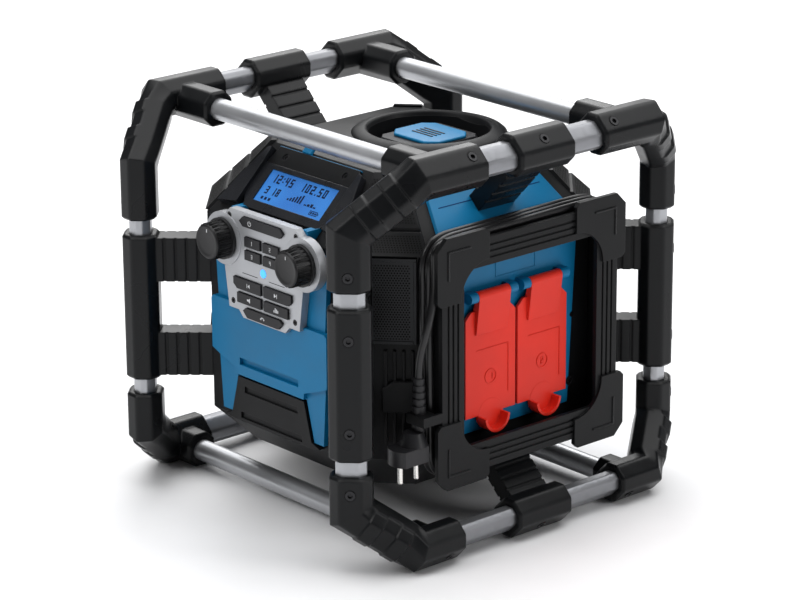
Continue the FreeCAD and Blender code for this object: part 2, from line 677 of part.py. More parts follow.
def front_bezel():
    """The blue front: two flanks, the raised block with its slot, and two legs beside the bass panel."""
    start = "-(body_half_y + seat_gap)"
    outline = mirrored([("front_half - 6", "bezel_top_z"), ("front_half", "bezel_top_z - 8"), ("front_half - 4", "block_top_z"),
                        ("front_half - 4", "block_low_z"), ("front_half - 8", "leg_low_z"), ("bass_low_half + 1", "leg_low_z"),
                        ("bass_top_half + 2", "bass_top_z + 2")])
    base = pad("bezel_base", "XZ_Plane", outline, "bezel_thick", (0, start, 0))
    raised = mirrored([("block_half - 3", "block_top_z"), ("block_half", "block_top_z - 3"), ("block_half", "block_low_z + 3"),
                       ("block_half - 12", "block_low_z - 2"), ("slot_half + 8", "slot_low_z - 4"),
                       ("bass_top_half + 2", "bass_top_z + 3")])
    block = pad("bezel_block", "XZ_Plane", raised, "bezel_thick + block_proud", (0, start, 0))
    slot = box("bezel_slot", ("2*slot_half", "slot_deep + 1", "slot_height"),
               ("-slot_half", "-(body_half_y + seat_gap + bezel_thick + block_proud + 1)", "slot_low_z"))
    opening = box("bezel_opening", ("92", "40", "plate_top_z"), ("-46", "-(body_half_y + 20)", "plate_low_z + 6"))
    notch = box("bezel_notch", ("2*phone_opening", "40", "20"), ("-phone_opening", "-(body_half_y + 20)", "plate_low_z - 6"))
    seat = pad("bezel_seat", "XZ_Plane", mirrored(plate_outline("seat_gap")), "20", (0, "-(body_half_y + seat_gap + bezel_thick)", 0))
    holes = [cylinder("bezel_shaft_%d" % side, "shaft_radius + 4", "30",
                      ("%d*knob_x" % side, "-(body_half_y - 10)", "knob_z"), "y") for side in (-1, 1)]
    body = fuse("bezel_body", [base, block, shape("bezel_wedge", bezel_wedge())])
    keep("front_bezel", cut("front_bezel", body, [slot, opening, notch, seat] + holes))


def bezel_wedge():
    """What fills the corner between the upright plate and the roof's slope."""
    gap = D.seat_gap
    front = -(D.body_half_y + gap + D.bezel_thick)
    block = Part.makeBox(2 * D.wedge_half, 30, D.wedge_top_z - D.eave_z + 8, Vector(-D.wedge_half, front, D.eave_z - 8))
    roof = octagon_loft([(D.body_floor_z, -gap), (D.eave_z, -gap), (D.roof_z, D.roof_inset - gap)])
    return block.cut(roof).cut(on_slope(slab(bezel_outline(gap), 0, D.slope_thick + 20)))


def bass_panel():
    start = "-(body_half_y + seat_gap)"
    outline = mirrored([("bass_top_half", "bass_top_z"), ("bass_low_half - 1", "leg_low_z"), ("bass_low_half + 10", "leg_low_z - 4"),
                        ("bass_low_half - 4", "body_floor_z + body_chamfer")])
    base = pad("bass_base", "XZ_Plane", outline, "bezel_thick + 2", (0, start, 0))
    slots = [box("bass_slot_%d" % i, ("2*(%s)" % half, "3", "slot_height - 1"),
                 ("-(%s)" % half, "-(body_half_y + seat_gap + bezel_thick + 3)", z))
             for i, (half, z) in enumerate((("slot_half - 4", "bass_top_z - 14"), ("slot_half + 2", "leg_low_z - 3")))]
    keep("bass_panel", cut("bass_panel", base, slots))


def control_plate():
    """The silver plate with a round boss behind each knob and an opening for each button."""
    start = "-(body_half_y + seat_gap*2 + bezel_thick)"
    base = pad("plate_base", "XZ_Plane", mirrored(plate_outline("0")), "plate_thick + block_proud", (0, start, 0))
    rings = [cylinder("plate_ring_%d" % side, "knob_ring", "plate_thick + block_proud + 1",
                      ("%d*knob_x" % side, start, "knob_z"), "y") for side in (-1, 1)]
    holes = [cylinder("plate_shaft_%d" % side, "shaft_radius + run_gap", "30",
                      ("%d*knob_x" % side, "-(body_half_y - 1)", "knob_z"), "y") for side in (-1, 1)]
    windows = [button_prism("window_" + name, points, "run_gap", "40", "-(body_half_y - 10)")
               for name, points in button_outlines()]
    led = cylinder("plate_led", "light_radius + seat_gap", "40", ("0", "-(body_half_y - 10)", "light_z"), "y")
    keep("control_plate", cut("control_plate", fuse("plate_body", [base] + rings), holes + windows + [led]))


def plate_outline(grow):
    """The plate's right half from top to bottom, grown by a gap."""
    return [("plate_half_top", "plate_top_z + " + grow), ("plate_half_top + 8 + " + grow, "plate_top_z - 7"),
            ("plate_half_low + 6 + " + grow, "knob_z - 22"), ("plate_half_low + " + grow, "plate_low_z - " + grow),
            ("plate_notch + 1", "plate_low_z - " + grow), ("plate_notch - 5 + " + grow, "plate_low_z - 6.5 - " + grow)]


def button_outlines():
    """Each button's front outline, as (x, z) corners."""
    def block(low_x, low_z, high_x, high_z):
        return [(low_x, low_z), (high_x, low_z), (high_x, high_z), (low_x, high_z)]

    return [
        ("power_button", [(-26, 278), (26, 278), (31, 282.5), (26, 287), (-26, 287), (-31, 282.5)]),
        ("preset_button_1", block(-24, 259.5, -2, 268.5)), ("preset_button_2", block(2, 259.5, 24, 268.5)),
        ("preset_button_3", block(-24, 247, -2, 256)), ("preset_button_4", block(2, 247, 24, 256)),
        ("previous_button", [(-41, 221), (-36, 217), (-2, 217), (-2, 227.5), (-41, 227.5)]),
        ("next_button", [(2, 217), (36, 217), (41, 221), (41, 227.5), (2, 227.5)]),
        ("mute_button", block(-36, 204, -2, 213.5)), ("equalizer_button", block(2, 204, 36, 213.5)),
        ("phone_button", [(-22, 191.5), (22, 191.5), (28, 197.5), (24, 200.5), (-24, 200.5), (-28, 197.5)]),
    ]


def button_prism(name, points, grow, depth, start):
    """A button's outline, grown by a gap, as a prism along Y."""
    middle_x = sum(x for x, z in points) / len(points)
    middle_z = sum(z for x, z in points) / len(points)
    grown = [("%s + (%s)*%d" % (x, grow, math.copysign(1, x - middle_x)), "%s + (%s)*%d" % (z, grow, math.copysign(1, z - middle_z)))
             for x, z in points]
    return pad(name, "XZ_Plane", grown, depth, (0, start, 0))


def buttons():
    front = "body_half_y + seat_gap*2 + bezel_thick + plate_thick + block_proud"
    for name, points in button_outlines():
        cap = button_prism(name + "_cap", points, "0", "%s - body_half_y - button_back + button_proud" % front,
                           "-(body_half_y + button_back)")
        keep(name, cap)


def knobs():
    front = "body_half_y + seat_gap*2 + bezel_thick + plate_thick + block_proud + 1"
    for side, side_name in SIDES:
        name = "knob_" + side_name
        x = "%d*knob_x" % side
        skirt = cylinder(name + "_skirt", "knob_radius + 2", "3", (x, "-(%s + run_gap)" % front, "knob_z"), "y")
        grip = cone(name + "_grip", "knob_radius", "knob_radius - 1.5", "knob_length - 3",
                    (x, "-(%s + run_gap + 3)" % front, "knob_z"), "y")
        stem = cylinder(name + "_stem", "shaft_radius", "28", (x, "-(%s + run_gap - 24)" % front, "knob_z"), "y")
        grooves = []
        for i in range(24):
            turn = i * 2 * math.pi / 24
            grooves.append(cylinder("%s_groove_%d" % (name, i), "0.9", "knob_length - 6",
                           ("%s + (knob_radius + 0.1)*%.6f" % (x, math.cos(turn)), "-(%s + run_gap + 3)" % front,
                            "knob_z + (knob_radius + 0.1)*%.6f" % math.sin(turn)), "y"))
        keep(name, cut(name, fuse(name + "_body", [skirt, grip, stem]), grooves))


def knob_encoders():
    """The two rotary encoders that the knobs' shafts turn in."""
    cans = []
    for side, side_name in SIDES:
        can = box("encoder_can_" + side_name, ("14", "9", "14"),
                  ("%d*knob_x - 7" % side, "-(body_half_y - shell_wall - seat_gap)", "knob_z - 7"))
        bore = cylinder("encoder_bore_" + side_name, "shaft_radius + 0.05", "40", ("%d*knob_x" % side, "-(body_half_y - 30)", "knob_z"), "y")
        cans.append(cut("encoder_" + side_name, can, [bore]))
    keep("knob_encoders", group("knob_encoders", cans))


def status_light():
    front = "body_half_y + seat_gap*2 + bezel_thick + plate_thick + block_proud"
    length = "%s - body_half_y - button_back + 0.3" % front
    keep("status_light", cylinder("status_light", "light_radius", length, ("0", "-(body_half_y + button_back)", "light_z"), "y"))


# The sloping display panel

def on_slope(solid):
    """Turns a solid drawn flat, front edge at the origin, onto the roof's front slope."""
    rise = math.degrees(math.atan2(D.roof_z - D.eave_z, D.roof_inset))
    solid.Placement = Placement(Vector(0, -D.body_half_y, D.eave_z), Rotation(Vector(1, 0, 0), rise))
    return solid


def slab(points, low, thick):
    face = Part.Face(Part.makePolygon([Vector(x, y, low) for x, y in points + points[:1]]))
    return face.extrude(Vector(0, 0, thick))


def both_halves(points):
    return points + [(-x, y) for x, y in reversed(points)]


def display_outline(grow=0.0):
    half, low = D.display_half + grow, D.display_low - grow
    return both_halves([(half, low), (half, low + D.display_height + 2 * grow)])


def bezel_outline(grow=0.0):
    half = D.bezel_half + grow
    return both_halves([(52 + grow, D.bezel_low - grow), (half, D.bezel_low + 12), (half, D.bezel_top + grow)])


def display_bezel():
    """The dark frame round the display, with a faceted cheek on each side."""
    gap, thick = D.seat_gap, D.slope_thick
    cheeks = []
    for side in (-1, 1):
        points = [(D.bezel_half, 14), (84, 10), (76, 44), (66, 74), (D.bezel_half + 1, 76), (D.bezel_half, 56)]
        cheeks.append(slab([(side * x, y) for x, y in points], gap, D.cheek_thick))
    solid = slab(bezel_outline(), gap, thick).fuse(cheeks).cut(slab(display_outline(gap), gap + 0.6, thick + 2))
    keep("display_bezel", shape("display_bezel", on_slope(solid)))


def display_pieces():
    gap = D.seat_gap
    module = slab(display_outline(), gap + 0.7, 0.9)
    keep("display_module", shape("display_module", on_slope(module)))
    lens = slab(display_outline(), gap + 1.7, 1.1)
    keep("display_lens", shape("display_lens", on_slope(lens)))


# Power side

def side_panel():
    """The blue panel with its sloped top, hinge ears and the two outlet mouths."""
    gap, thick = D.seat_gap, D.panel_thick
    x, z = D.body_half_x + gap, D.panel_slope_top_z
    lean = D.roof_inset / (D.roof_z - D.eave_z)
    lift = gap * math.hypot(1, lean) / lean
    top_x = x - (z - D.eave_z - lift + gap) * lean
    out = Vector(1, 0, lean).normalize() * thick
    bend = thick * (math.hypot(1, lean) - 1) / lean
    profile = [(x, D.panel_low_z), (x, D.eave_z + lift - gap), (top_x, z), (top_x + out.x, z + out.z),
               (x + thick, D.eave_z + lift - gap + bend), (x + thick, D.panel_low_z)]
    face = Part.Face(Part.makePolygon([Vector(px, -100, pz) for px, pz in profile + profile[:1]]))
    sheet_solid = face.extrude(Vector(0, 200, 0))
    outline = [(D.panel_low_half, D.panel_low_z), (D.panel_half, D.eave_z - 12), (D.panel_half, D.eave_z + 8), (D.panel_top_half, z + 4)]
    outline = outline + [(-y, pz) for y, pz in reversed(outline)]
    mask = Part.Face(Part.makePolygon([Vector(50, y, pz) for y, pz in outline + outline[:1]])).extrude(Vector(150, 0, 0))
    solid = sheet_solid.common(mask)
    for y in outlet_centres():
        ring = Part.makeCylinder(D.socket_ring + 1.5, 3, Vector(x + thick - 0.5, y, D.socket_z), Vector(1, 0, 0))
        solid = solid.fuse(ring)
        solid = solid.cut(Part.makeCylinder(D.socket_ring, 40, Vector(x - 20, y, D.socket_z), Vector(1, 0, 0)))
        solid = solid.fuse(hinge_ears(y))
    for at in panel_screw_spots():
        solid = solid.cut(add_screw(at, Vector(1, 0, 0)))
    keep("side_panel", shape("side_panel", solid.removeSplitter()))


def hinge_ears(y):
    """Two ears that carry one cover's pin."""
    face_x = D.body_half_x + D.seat_gap + D.panel_thick
    half = D.cover_width / 2
    ears = []
    for low in (y - half + 2, y + half - 2 - D.ear_width):
        block = Part.makeBox(D.cover_hinge_x - face_x + 0.5, D.ear_width, 2 * D.barrel_radius)
        block.translate(Vector(face_x - 0.5, low, D.cover_hinge_z - D.barrel_radius))
        ear = block.fuse(Part.makeCylinder(D.barrel_radius, D.ear_width, Vector(D.cover_hinge_x, low, D.cover_hinge_z), Vector(0, 1, 0)))
        ears.append(ear)
    both = ears[0].fuse(ears[1])
    return both.cut(pin_shape(y, D.seat_gap * 0.3))


def pin_shape(y, grow=0.0):
    half = D.cover_width / 2 - 3
    return Part.makeCylinder(D.hinge_pin_radius + grow, 2 * half + 2 * grow, Vector(D.cover_hinge_x, y - half - grow, D.cover_hinge_z), Vector(0, 1, 0))


def hinge_pins():
    pins = [pin_shape(y) for y in outlet_centres()]
    low = D.bay_low_z + 4
    door_pin = Part.makeCylinder(D.hinge_pin_radius, 2 * D.bay_half - 4, Vector(door_pin_x(), -D.bay_half + 2, low), Vector(0, 1, 0))
    keep("hinge_pins", shape("hinge_pins", Part.makeCompound(pins + [door_pin])))


def outlet_cover(y):
    """A red flap: a bevelled lid, its hinge barrel with a sloping link, and a pull tab."""
    back_x = D.body_half_x + D.seat_gap + D.panel_thick + 2.5 + 0.4
    half = D.cover_width / 2
    low, top = D.cover_low_z, D.cover_top_z
    outline = [(-half, low), (half, low), (half, top - 7), (half - 7, top), (-half + 7, top), (-half, top - 7)]
    lid = Part.Face(Part.makePolygon([Vector(back_x, y + py, pz) for py, pz in outline + outline[:1]])).extrude(Vector(D.cover_thick, 0, 0))
    link_half = half - 2 - D.ear_width - 0.4
    barrel = Part.makeCylinder(D.barrel_radius, 2 * link_half, Vector(D.cover_hinge_x, y - link_half, D.cover_hinge_z), Vector(0, 1, 0))
    face_x = back_x + D.cover_thick
    link = [(back_x, top - 22), (face_x + 2, top - 22), (face_x + 4, top - 6), (D.cover_hinge_x + D.barrel_radius, D.cover_hinge_z),
            (D.cover_hinge_x, D.cover_hinge_z), (back_x, top)]
    web = Part.Face(Part.makePolygon([Vector(px, y - link_half, pz) for px, pz in link + link[:1]])).extrude(Vector(0, 2 * link_half, 0))
    pull = Part.makeCylinder(D.pull_width / 2, 3.2, Vector(back_x, y, low - 1), Vector(1, 0, 0))
    hook = Part.makeCylinder(D.pull_width / 2, D.pull_reach, Vector(back_x, y, low - 1), Vector(1, 0, 0))
    hook = hook.cut(Part.makeCylinder(D.pull_width / 2 - 2.5, D.pull_reach + 2, Vector(back_x - 1, y, low - 1), Vector(1, 0, 0)))
    hook = hook.common(Part.makeBox(40, 60, 30, Vector(back_x, y - 30, low - 31)))
    solid = lid.fuse([barrel, web, pull, hook])
    return solid.cut(Part.makeCylinder(D.hinge_pin_radius + 0.05, 200, Vector(D.cover_hinge_x, y - 100, D.cover_hinge_z), Vector(0, 1, 0)))


def outlet_covers():
    for y, (end, end_name) in zip(outlet_centres(), ENDS):
        name = "outlet_cover_" + end_name
        keep(name, shape(name, outlet_cover(y)))


def outlet_sockets():
    """Two round recessed mains sockets with two pin holes each."""
    solids = []
    for y in outlet_centres():
        front_x = D.body_half_x + D.seat_gap + D.panel_thick + 2
        centre = Vector(front_x - D.socket_pocket - 4, y, D.socket_z)
        out = Vector(1, 0, 0)
        cup = Part.makeCylinder(D.socket_ring - D.seat_gap, D.socket_pocket + 4, centre, out)
        cup = cup.cut(Part.makeCylinder(D.socket_radius, D.socket_pocket + 1, centre + out * 4, out))
        for shift in (-D.pin_spacing / 2, D.pin_spacing / 2):
            cup = cup.cut(Part.makeCylinder(D.pin_radius + 0.3, 6, centre - out + Vector(0, shift, 0), out))
        solids.append(cup)
    keep("outlet_sockets", shape("outlet_sockets", Part.makeCompound(solids)))


# Cord holder, cord and plug

def rounded_block(half_y, half_z, corner, start_x, length):
    block = Part.makeBox(length, 2 * half_y, 2 * half_z, Vector(start_x, -half_y, D.ring_mid_z - half_z))
    edges = [edge for edge in block.Edges if along(edge, Vector(1, 0, 0))]
    return block.makeFillet(corner, edges)


def cord_frame():
    """A spool ring on the side panel with four corner pads and grooved rails between them."""
    start = D.body_half_x - 20
    length = D.flange_x - start + 0.5
    ring = rounded_block(D.ring_half_y, D.ring_half_z, D.ring_corner, start, length)
    wall = D.ring_wall
    ring = ring.cut(rounded_block(D.ring_half_y - wall, D.ring_half_z - wall, D.ring_corner - wall, start - 1, length + 2))
    rail_x = D.flange_x - D.rail_set_back
    outer = rounded_block(D.rail_half_y, D.rail_half_z, D.ring_corner, rail_x, D.flange_thick)
    inner = rounded_block(D.rail_half_y - D.rail_width, D.rail_half_z - D.rail_width, 6, rail_x - 1, D.flange_thick + 2)
    rails = outer.cut(inner)
    for share in (0.28, 0.5, 0.72):
        inset = D.rail_width * share
        wide = rounded_block(D.rail_half_y - inset + 1.2, D.rail_half_z - inset + 1.2, 10, rail_x + D.flange_thick - 1.5, 4)
        thin = rounded_block(D.rail_half_y - inset - 1.2, D.rail_half_z - inset - 1.2, 8, rail_x + D.flange_thick - 2, 5)
        rails = rails.cut(wide.cut(thin))
    solid = ring.fuse(rails)
    for side in (-1, 1):
        for level in (-1, 1):
            solid = solid.fuse(corner_pad(side, level))
    solid = solid.fuse(plug_cradle())
    solid = trim_to_body(solid)
    keep("cord_frame", shape("cord_frame", solid.removeSplitter()))


def trim_to_body(solid):
    """Takes away what would reach into the body's shell."""
    gap = D.seat_gap
    proud = (D.panel_thick + 2 * gap) * math.hypot(1, D.roof_inset / (D.roof_z - D.eave_z)) + 0.1
    shell = octagon_loft([(D.body_floor_z - gap, D.body_chamfer - gap), (D.body_floor_z + D.body_chamfer, -gap), (D.eave_z, -gap)])
    roof = octagon_loft([(D.eave_z - gap, -proud), (D.roof_z, D.roof_inset - proud)])
    panel = Part.makeBox(D.panel_thick + 2 * gap, 2 * (D.panel_half + gap), D.eave_z + 10 - D.panel_low_z + gap,
                         Vector(D.body_half_x, -D.panel_half - gap, D.panel_low_z - gap))
    return solid.cut([shell, roof, panel])


def corner_pad(side, level):
    """A chamfered corner pad with a round bite at its inner corner."""
    y0, z0 = D.pad_half_y, D.pad_half_z
    size, bevel = D.pad_size, D.pad_cut
    inner_y, inner_z = y0 - size, z0 - size
    outline = [(y0 - bevel, z0), (y0, z0 - bevel), (y0, inner_z + 4), (y0 - 4, inner_z), (inner_y, inner_z), (inner_y, z0 - 4), (inner_y + 4, z0)]
    corners = [Vector(D.flange_x, side * y, D.ring_mid_z + level * z) for y, z in outline]
    pad_solid = Part.Face(Part.makePolygon(corners + corners[:1])).extrude(Vector(D.flange_thick, 0, 0))
    centre = Vector(D.flange_x - 1, side * inner_y, D.ring_mid_z + level * inner_z)
    return pad_solid.cut(Part.makeCylinder(D.pad_arc, D.flange_thick + 2, centre, Vector(1, 0, 0)))


def plug_cradle():
    """A forked arm on the ring that the plug's strain relief is pushed into."""
    low, tall = D.plug_low_z + D.plug_height + 7, 9
    reach_y = D.relief_y - D.relief_radius - 2
    rail_x = D.flange_x - D.rail_set_back
    clear_y = -winding_corners()[0] - D.cord_dia / 2 - 0.6
    fork = Part.makeBox(rail_x + D.flange_thick - D.plug_x + 8, clear_y - reach_y, tall, Vector(D.plug_x - 8, reach_y, low))
    arm = Part.makeBox(D.flange_thick - 0.5, -D.rail_half_y + 4 - reach_y, tall, Vector(rail_x + 0.5, reach_y, low))
    bore = Part.makeCylinder(D.relief_radius + D.seat_gap, 20, Vector(D.plug_x, D.relief_y, low - 5))
    return fork.fuse(arm).cut(bore)


def relief():
    """The ribbed strain relief above the plug, as wide rings on a tapered core."""
    low = D.plug_low_z + D.plug_height - 1
    core = Part.makeCone(D.relief_radius - 0.8, D.cord_dia / 2 + 0.8, D.relief_top_z - low, Vector(D.plug_x, D.relief_y, low))
    grip = Part.makeCylinder(D.relief_radius, 24, Vector(D.plug_x, D.relief_y, low))
    rings = [Part.makeCylinder(D.relief_radius - 0.1 - 0.3 * i, 4.4, Vector(D.plug_x, D.relief_y, low + 26.5 + 6.2 * i)) for i in range(4)]
    return core.fuse([grip] + rings)


def mains_plug():
    low = D.plug_low_z
    base = Part.makeCylinder(D.plug_radius, 15, Vector(D.plug_x, D.plug_y, low))
    base = base.cut(Part.makeBox(12, 60, 40, Vector(D.plug_x + 12.5, D.plug_y - 30, low - 5)))
    base = base.cut(Part.makeBox(12, 60, 40, Vector(D.plug_x - 24.5, D.plug_y - 30, low - 5)))
    crown = Part.makeCone(D.plug_radius * 0.72, 8.5, D.plug_height - 14, Vector(D.plug_x, (D.plug_y + D.relief_y) / 2, low + 14))
    solid = base.fuse([crown, relief()])
    holes = [pin_at(shift, D.seat_gap * 0.3) for shift in (-1, 1)]
    keep("mains_plug", shape("mains_plug", solid.cut(holes[0]).cut(holes[1]).removeSplitter()))


def pin_at(shift, grow=0.0):
    y = D.plug_y + shift * D.pin_spacing / 2
    low = D.plug_low_z - D.pin_length
    stem = Part.makeCylinder(D.pin_radius + grow, D.pin_length + 8 + grow, Vector(D.plug_x, y, low))
    if grow:
        return stem
    return stem.makeFillet(D.pin_radius * 0.7, [edge for edge in stem.Edges if edge.Length < 20 and edge.BoundBox.ZMax < low + 0.1])


def plug_pins():
    keep("plug_pins", shape("plug_pins", Part.makeCompound([pin_at(-1), pin_at(1)])))


def winding_corners():
    """The corners of the cord's route: from the relief up, then round the ring and behind the panel edge."""
    dia = D.cord_dia
    off = dia / 2 + D.cord_gap
    y, z = D.ring_half_y + off, D.ring_half_z + off
    mid = D.ring_mid_z
    return y, mid - z, mid + z


def mains_cord():
    """The wound lead: straight runs and quarter turns round the ring, one turn behind the other."""
    y, low, top = winding_corners()
    bend = D.ring_corner + D.cord_dia / 2
    step = -D.cord_pitch / 4
    x = D.cord_x
    first = Vector(D.plug_x, D.relief_y, D.relief_top_z + D.seat_gap)
    ahead = Vector(x + 1.2, D.relief_y + 4, D.relief_top_z + 46)
    corners = [first, first + Vector(0, 0, 16), ahead, Vector(x + 0.5, -y, D.relief_top_z + 78), Vector(x, -y, top)]
    ring = [(y, top), (y, low), (-y, low), (-y, top)]
    for lap in range(int(D.cord_turns)):
        for px, pz in ring:
            x += step
            corners.append(Vector(x, px, pz))
    foot, normal = gland_place()
    away = foot + normal * ((x + step - foot.x) / normal.x)
    corners += [Vector(x + step, y, top), Vector(x + step, away.y, foot.z), foot - normal * 3]
    radii = [40.0] * 3 + [bend] * (len(corners) - 6) + [10.0]
    wire, least = rounded_route(corners, radii)
    circle = Part.Wire([Part.makeCircle(D.cord_dia / 2, first, Vector(0, 0, 1))])
    tube = wire.makePipeShell([circle], True, False)
    print("cord length %.0f, least radius %.1f, tube volume %.0f of %.0f, gap between turns %.2f"
          % (wire.Length, least, tube.Volume, wire.Length * math.pi * D.cord_dia ** 2 / 4, D.cord_pitch - D.cord_dia))
    keep("mains_cord", shape("mains_cord", tube))


def rounded_route(corners, radii):
    """Straight runs joined by tangent arcs of the given radii."""
    edges, cursor, least = [], corners[0], 1e9
    for i, radius in enumerate(radii, 1):
        before = (corners[i - 1] - corners[i]).normalize()
        after = (corners[i + 1] - corners[i]).normalize()
        half = (math.pi - before.getAngle(after)) / 2
        trim = radius * math.tan(half)
        room = 0.48 * min((corners[i] - corners[i - 1]).Length, (corners[i + 1] - corners[i]).Length)
        if trim > room:
            trim = room
        radius_used = trim / math.tan(half)
        least = min(least, radius_used)
        start, stop = corners[i] + before * trim, corners[i] + after * trim
        inward = (before + after).normalize()
        centre = corners[i] + inward * math.hypot(radius_used, trim)
        middle = centre - inward * radius_used
        edges += [Part.LineSegment(cursor, start).toShape(), Part.Arc(start, middle, stop).toShape()]
        cursor = stop
    edges.append(Part.LineSegment(cursor, corners[-1]).toShape())
    return Part.Wire(edges), least


# Rear and left side

def rear_panel():
    start = "body_half_y + seat_gap + bezel_thick"
    outline = mirrored([("rear_half - 10", "rear_top_z"), ("rear_half", "rear_top_z - 10"), ("rear_half", "rear_low_z + 12"),
                        ("rear_half - 12", "rear_low_z")])
    base = pad("rear_base", "XZ_Plane", outline, "bezel_thick", (0, start, 0))
    slots = [box("rear_slot_%d" % i, ("2*slot_half", "bezel_thick", "4"), ("-slot_half", "body_half_y + seat_gap + 3", "rear_low_z + 24 + %d" % (9 * i)))
             for i in range(7)]
    keep("rear_panel", cut("rear_panel", base, slots))


def left_panel():
    """The blue left side with the phone bay set into it."""
    x = D.body_half_x + D.seat_gap
    outline = [(D.left_half - 8, D.left_low_z), (D.left_half, D.left_low_z + 10), (D.left_half, D.left_top_z - 8), (D.left_half - 8, D.left_top_z)]
    outline = outline + [(-y, z) for y, z in reversed(outline)]
    corners = [Vector(-x, y, z) for y, z in outline]
    solid = Part.Face(Part.makePolygon(corners + corners[:1])).extrude(Vector(-D.panel_thick, 0, 0))
    wall = 2.0
    tub = Part.makeBox(D.bay_deep + D.panel_thick, 2 * D.bay_half + 2 * wall, D.bay_top_z - D.bay_low_z + 2 * wall)
    tub.translate(Vector(-x - D.panel_thick, -D.bay_half - wall, D.bay_low_z - wall))
    hollow = Part.makeBox(D.bay_deep + D.panel_thick, 2 * D.bay_half, D.bay_top_z - D.bay_low_z)
    hollow.translate(Vector(-x - D.panel_thick - wall, -D.bay_half, D.bay_low_z))
    solid = solid.fuse(tub).cut(hollow)
    pin = Part.makeCylinder(D.hinge_pin_radius + 0.03, 2 * D.bay_half - 4, Vector(door_pin_x(), -D.bay_half + 2, D.bay_low_z + 4), Vector(0, 1, 0))
    ears = []
    for y in (-D.bay_half, D.bay_half - 6):
        ears.append(Part.makeBox(8, 6, 9, Vector(door_pin_x() - 3, y, D.bay_low_z - 0.5)))
    keep("left_panel", shape("left_panel", solid.fuse(ears).cut(pin).removeSplitter()))


def door_pin_x():
    return -(D.body_half_x + D.seat_gap + D.panel_thick - 3)


def media_door():
    """The phone bay's lid, hinged at its lower edge inside the bay's mouth."""
    gap = 0.4
    outer_x = -(D.body_half_x + D.seat_gap + D.panel_thick)
    low, top = D.bay_low_z + gap, D.bay_top_z - gap
    half = D.bay_half - gap
    lid = Part.makeBox(D.door_thick, 2 * half, top - low - 10, Vector(outer_x, -half, low + 10))
    link_half = D.bay_half - 6 - gap
    web = Part.makeBox(D.door_thick, 2 * link_half, 12, Vector(outer_x, -link_half, low + 2.5))
    barrel = Part.makeCylinder(3, 2 * link_half, Vector(door_pin_x(), -link_half, D.bay_low_z + 4), Vector(0, 1, 0))
    grip = Part.makeBox(3, 40, 5, Vector(outer_x - 3, -20, top - 9))
    ribs = [Part.makeBox(1.5, 60, 3, Vector(outer_x - 1.2, -30, low + 26 + 11 * i)) for i in range(4)]
    solid = lid.fuse([web, barrel, grip] + ribs)
    solid = solid.cut(Part.makeCylinder(D.hinge_pin_radius + 0.05, 300, Vector(door_pin_x(), -150, D.bay_low_z + 4), Vector(0, 1, 0)))
    keep("media_door", shape("media_door", solid))


# Battery and inner pieces

def battery_pack():
    """The slide-in pack: a faceted block with two side latches and a ribbed top."""
    half_w, half_l = D.battery_width / 2, D.battery_length / 2
    low = D.well_floor_z + 0.3
    top = low + D.battery_height
    outline = [(half_w - 8, half_l), (half_w, half_l - 8), (half_w, -half_l + 8), (half_w - 8, -half_l)]
    outline = outline + [(-x, y) for x, y in reversed(outline)]

    def wire(z, share):
        corners = [Vector(x * share, D.well_y + y * share, z) for x, y in outline]
        return Part.makePolygon(corners + corners[:1])

    solid = Part.makeLoft([wire(low, 0.94), wire(low + 8, 1), wire(top - 12, 1), wire(top, 0.86)], True, True)
    for side in (-1, 1):
        latch = Part.makeBox(3, 26, 14, Vector(side * half_w - 1.5, D.well_y - 13, top - 32))
        solid = solid.fuse(latch)
    keep("battery_pack", shape("battery_pack", solid))


def corner_solid(side, end, z, build):
    """Places a solid drawn along +X from the corner face onto one of the four corner faces."""
    normal, distance = corner_normal()
    turn = math.degrees(math.atan2(normal.y * end, normal.x * side))
    solid = build(distance, side * end)
    solid.Placement = Placement(Vector(0, 0, z), Rotation(Vector(0, 0, 1), turn))
    return solid


def speaker(distance, hand):
    """A driver: round basket with a cone, and its magnet behind."""
    face = distance - D.shell_wall - D.seat_gap
    out = Vector(1, 0, 0)
    basket = Part.makeCone(14, D.speaker_radius + 3, D.speaker_deep - 12, Vector(face - D.speaker_deep + 12, 0, 0), out)
    dish = Part.makeCone(6, D.speaker_radius - 3, D.speaker_deep - 16, Vector(face - D.speaker_deep + 16, 0, 0), out)
    magnet = Part.makeCylinder(18, 13, Vector(face - D.speaker_deep, 0, 0), out)
    cap = Part.makeSphere(9, Vector(face - D.speaker_deep + 12, 0, 0)).common(Part.makeBox(60, 60, 60, Vector(face - D.speaker_deep + 12, -30, -30)))
    return basket.cut(dish).fuse([magnet, cap])


def corner_speakers():
    solids = [corner_solid(side, end, D.speaker_z, speaker) for side, n in SIDES for end, m in ENDS]
    keep("corner_speakers", shape("corner_speakers", Part.makeCompound(solids)))


def grille(distance, hand):
    """A grille plate with a raised rim, cut away where the post sleeve's upper arm lands."""
    half, tall, thick = D.grille_width / 2, D.grille_height, D.grille_thick
    face = distance + D.seat_gap
    plate = Part.makeBox(thick, 2 * half, tall, Vector(face, -half, -tall / 2))
    field = Part.makeBox(thick, 2 * half - 10, tall - 10, Vector(face + thick - 1, -half + 5, -tall / 2 + 5))
    plate = plate.cut(field)
    rows, columns = 7, 6
    for i in range(rows):
        for j in range(columns):
            y = (j - (columns - 1) / 2) * (2 * half - 18) / (columns - 1)
            z = (i - (rows - 1) / 2) * (tall - 22) / (rows - 1)
            plate = plate.cut(Part.makeCylinder(2.6, 10, Vector(face - 2, y, z), Vector(1, 0, 0)))
    normal, distance = corner_normal()
    arm_y = hand * (normal.x * D.post_half_y - normal.y * D.post_half_x)
    gap = D.run_gap
    foot = Vector(face - 2, arm_y - D.arm_thick / 2 - gap, D.arm_top_z - D.speaker_z - gap)
    return plate.cut(Part.makeBox(10, D.arm_thick + 2 * gap, D.arm_height + 2 * gap, foot))


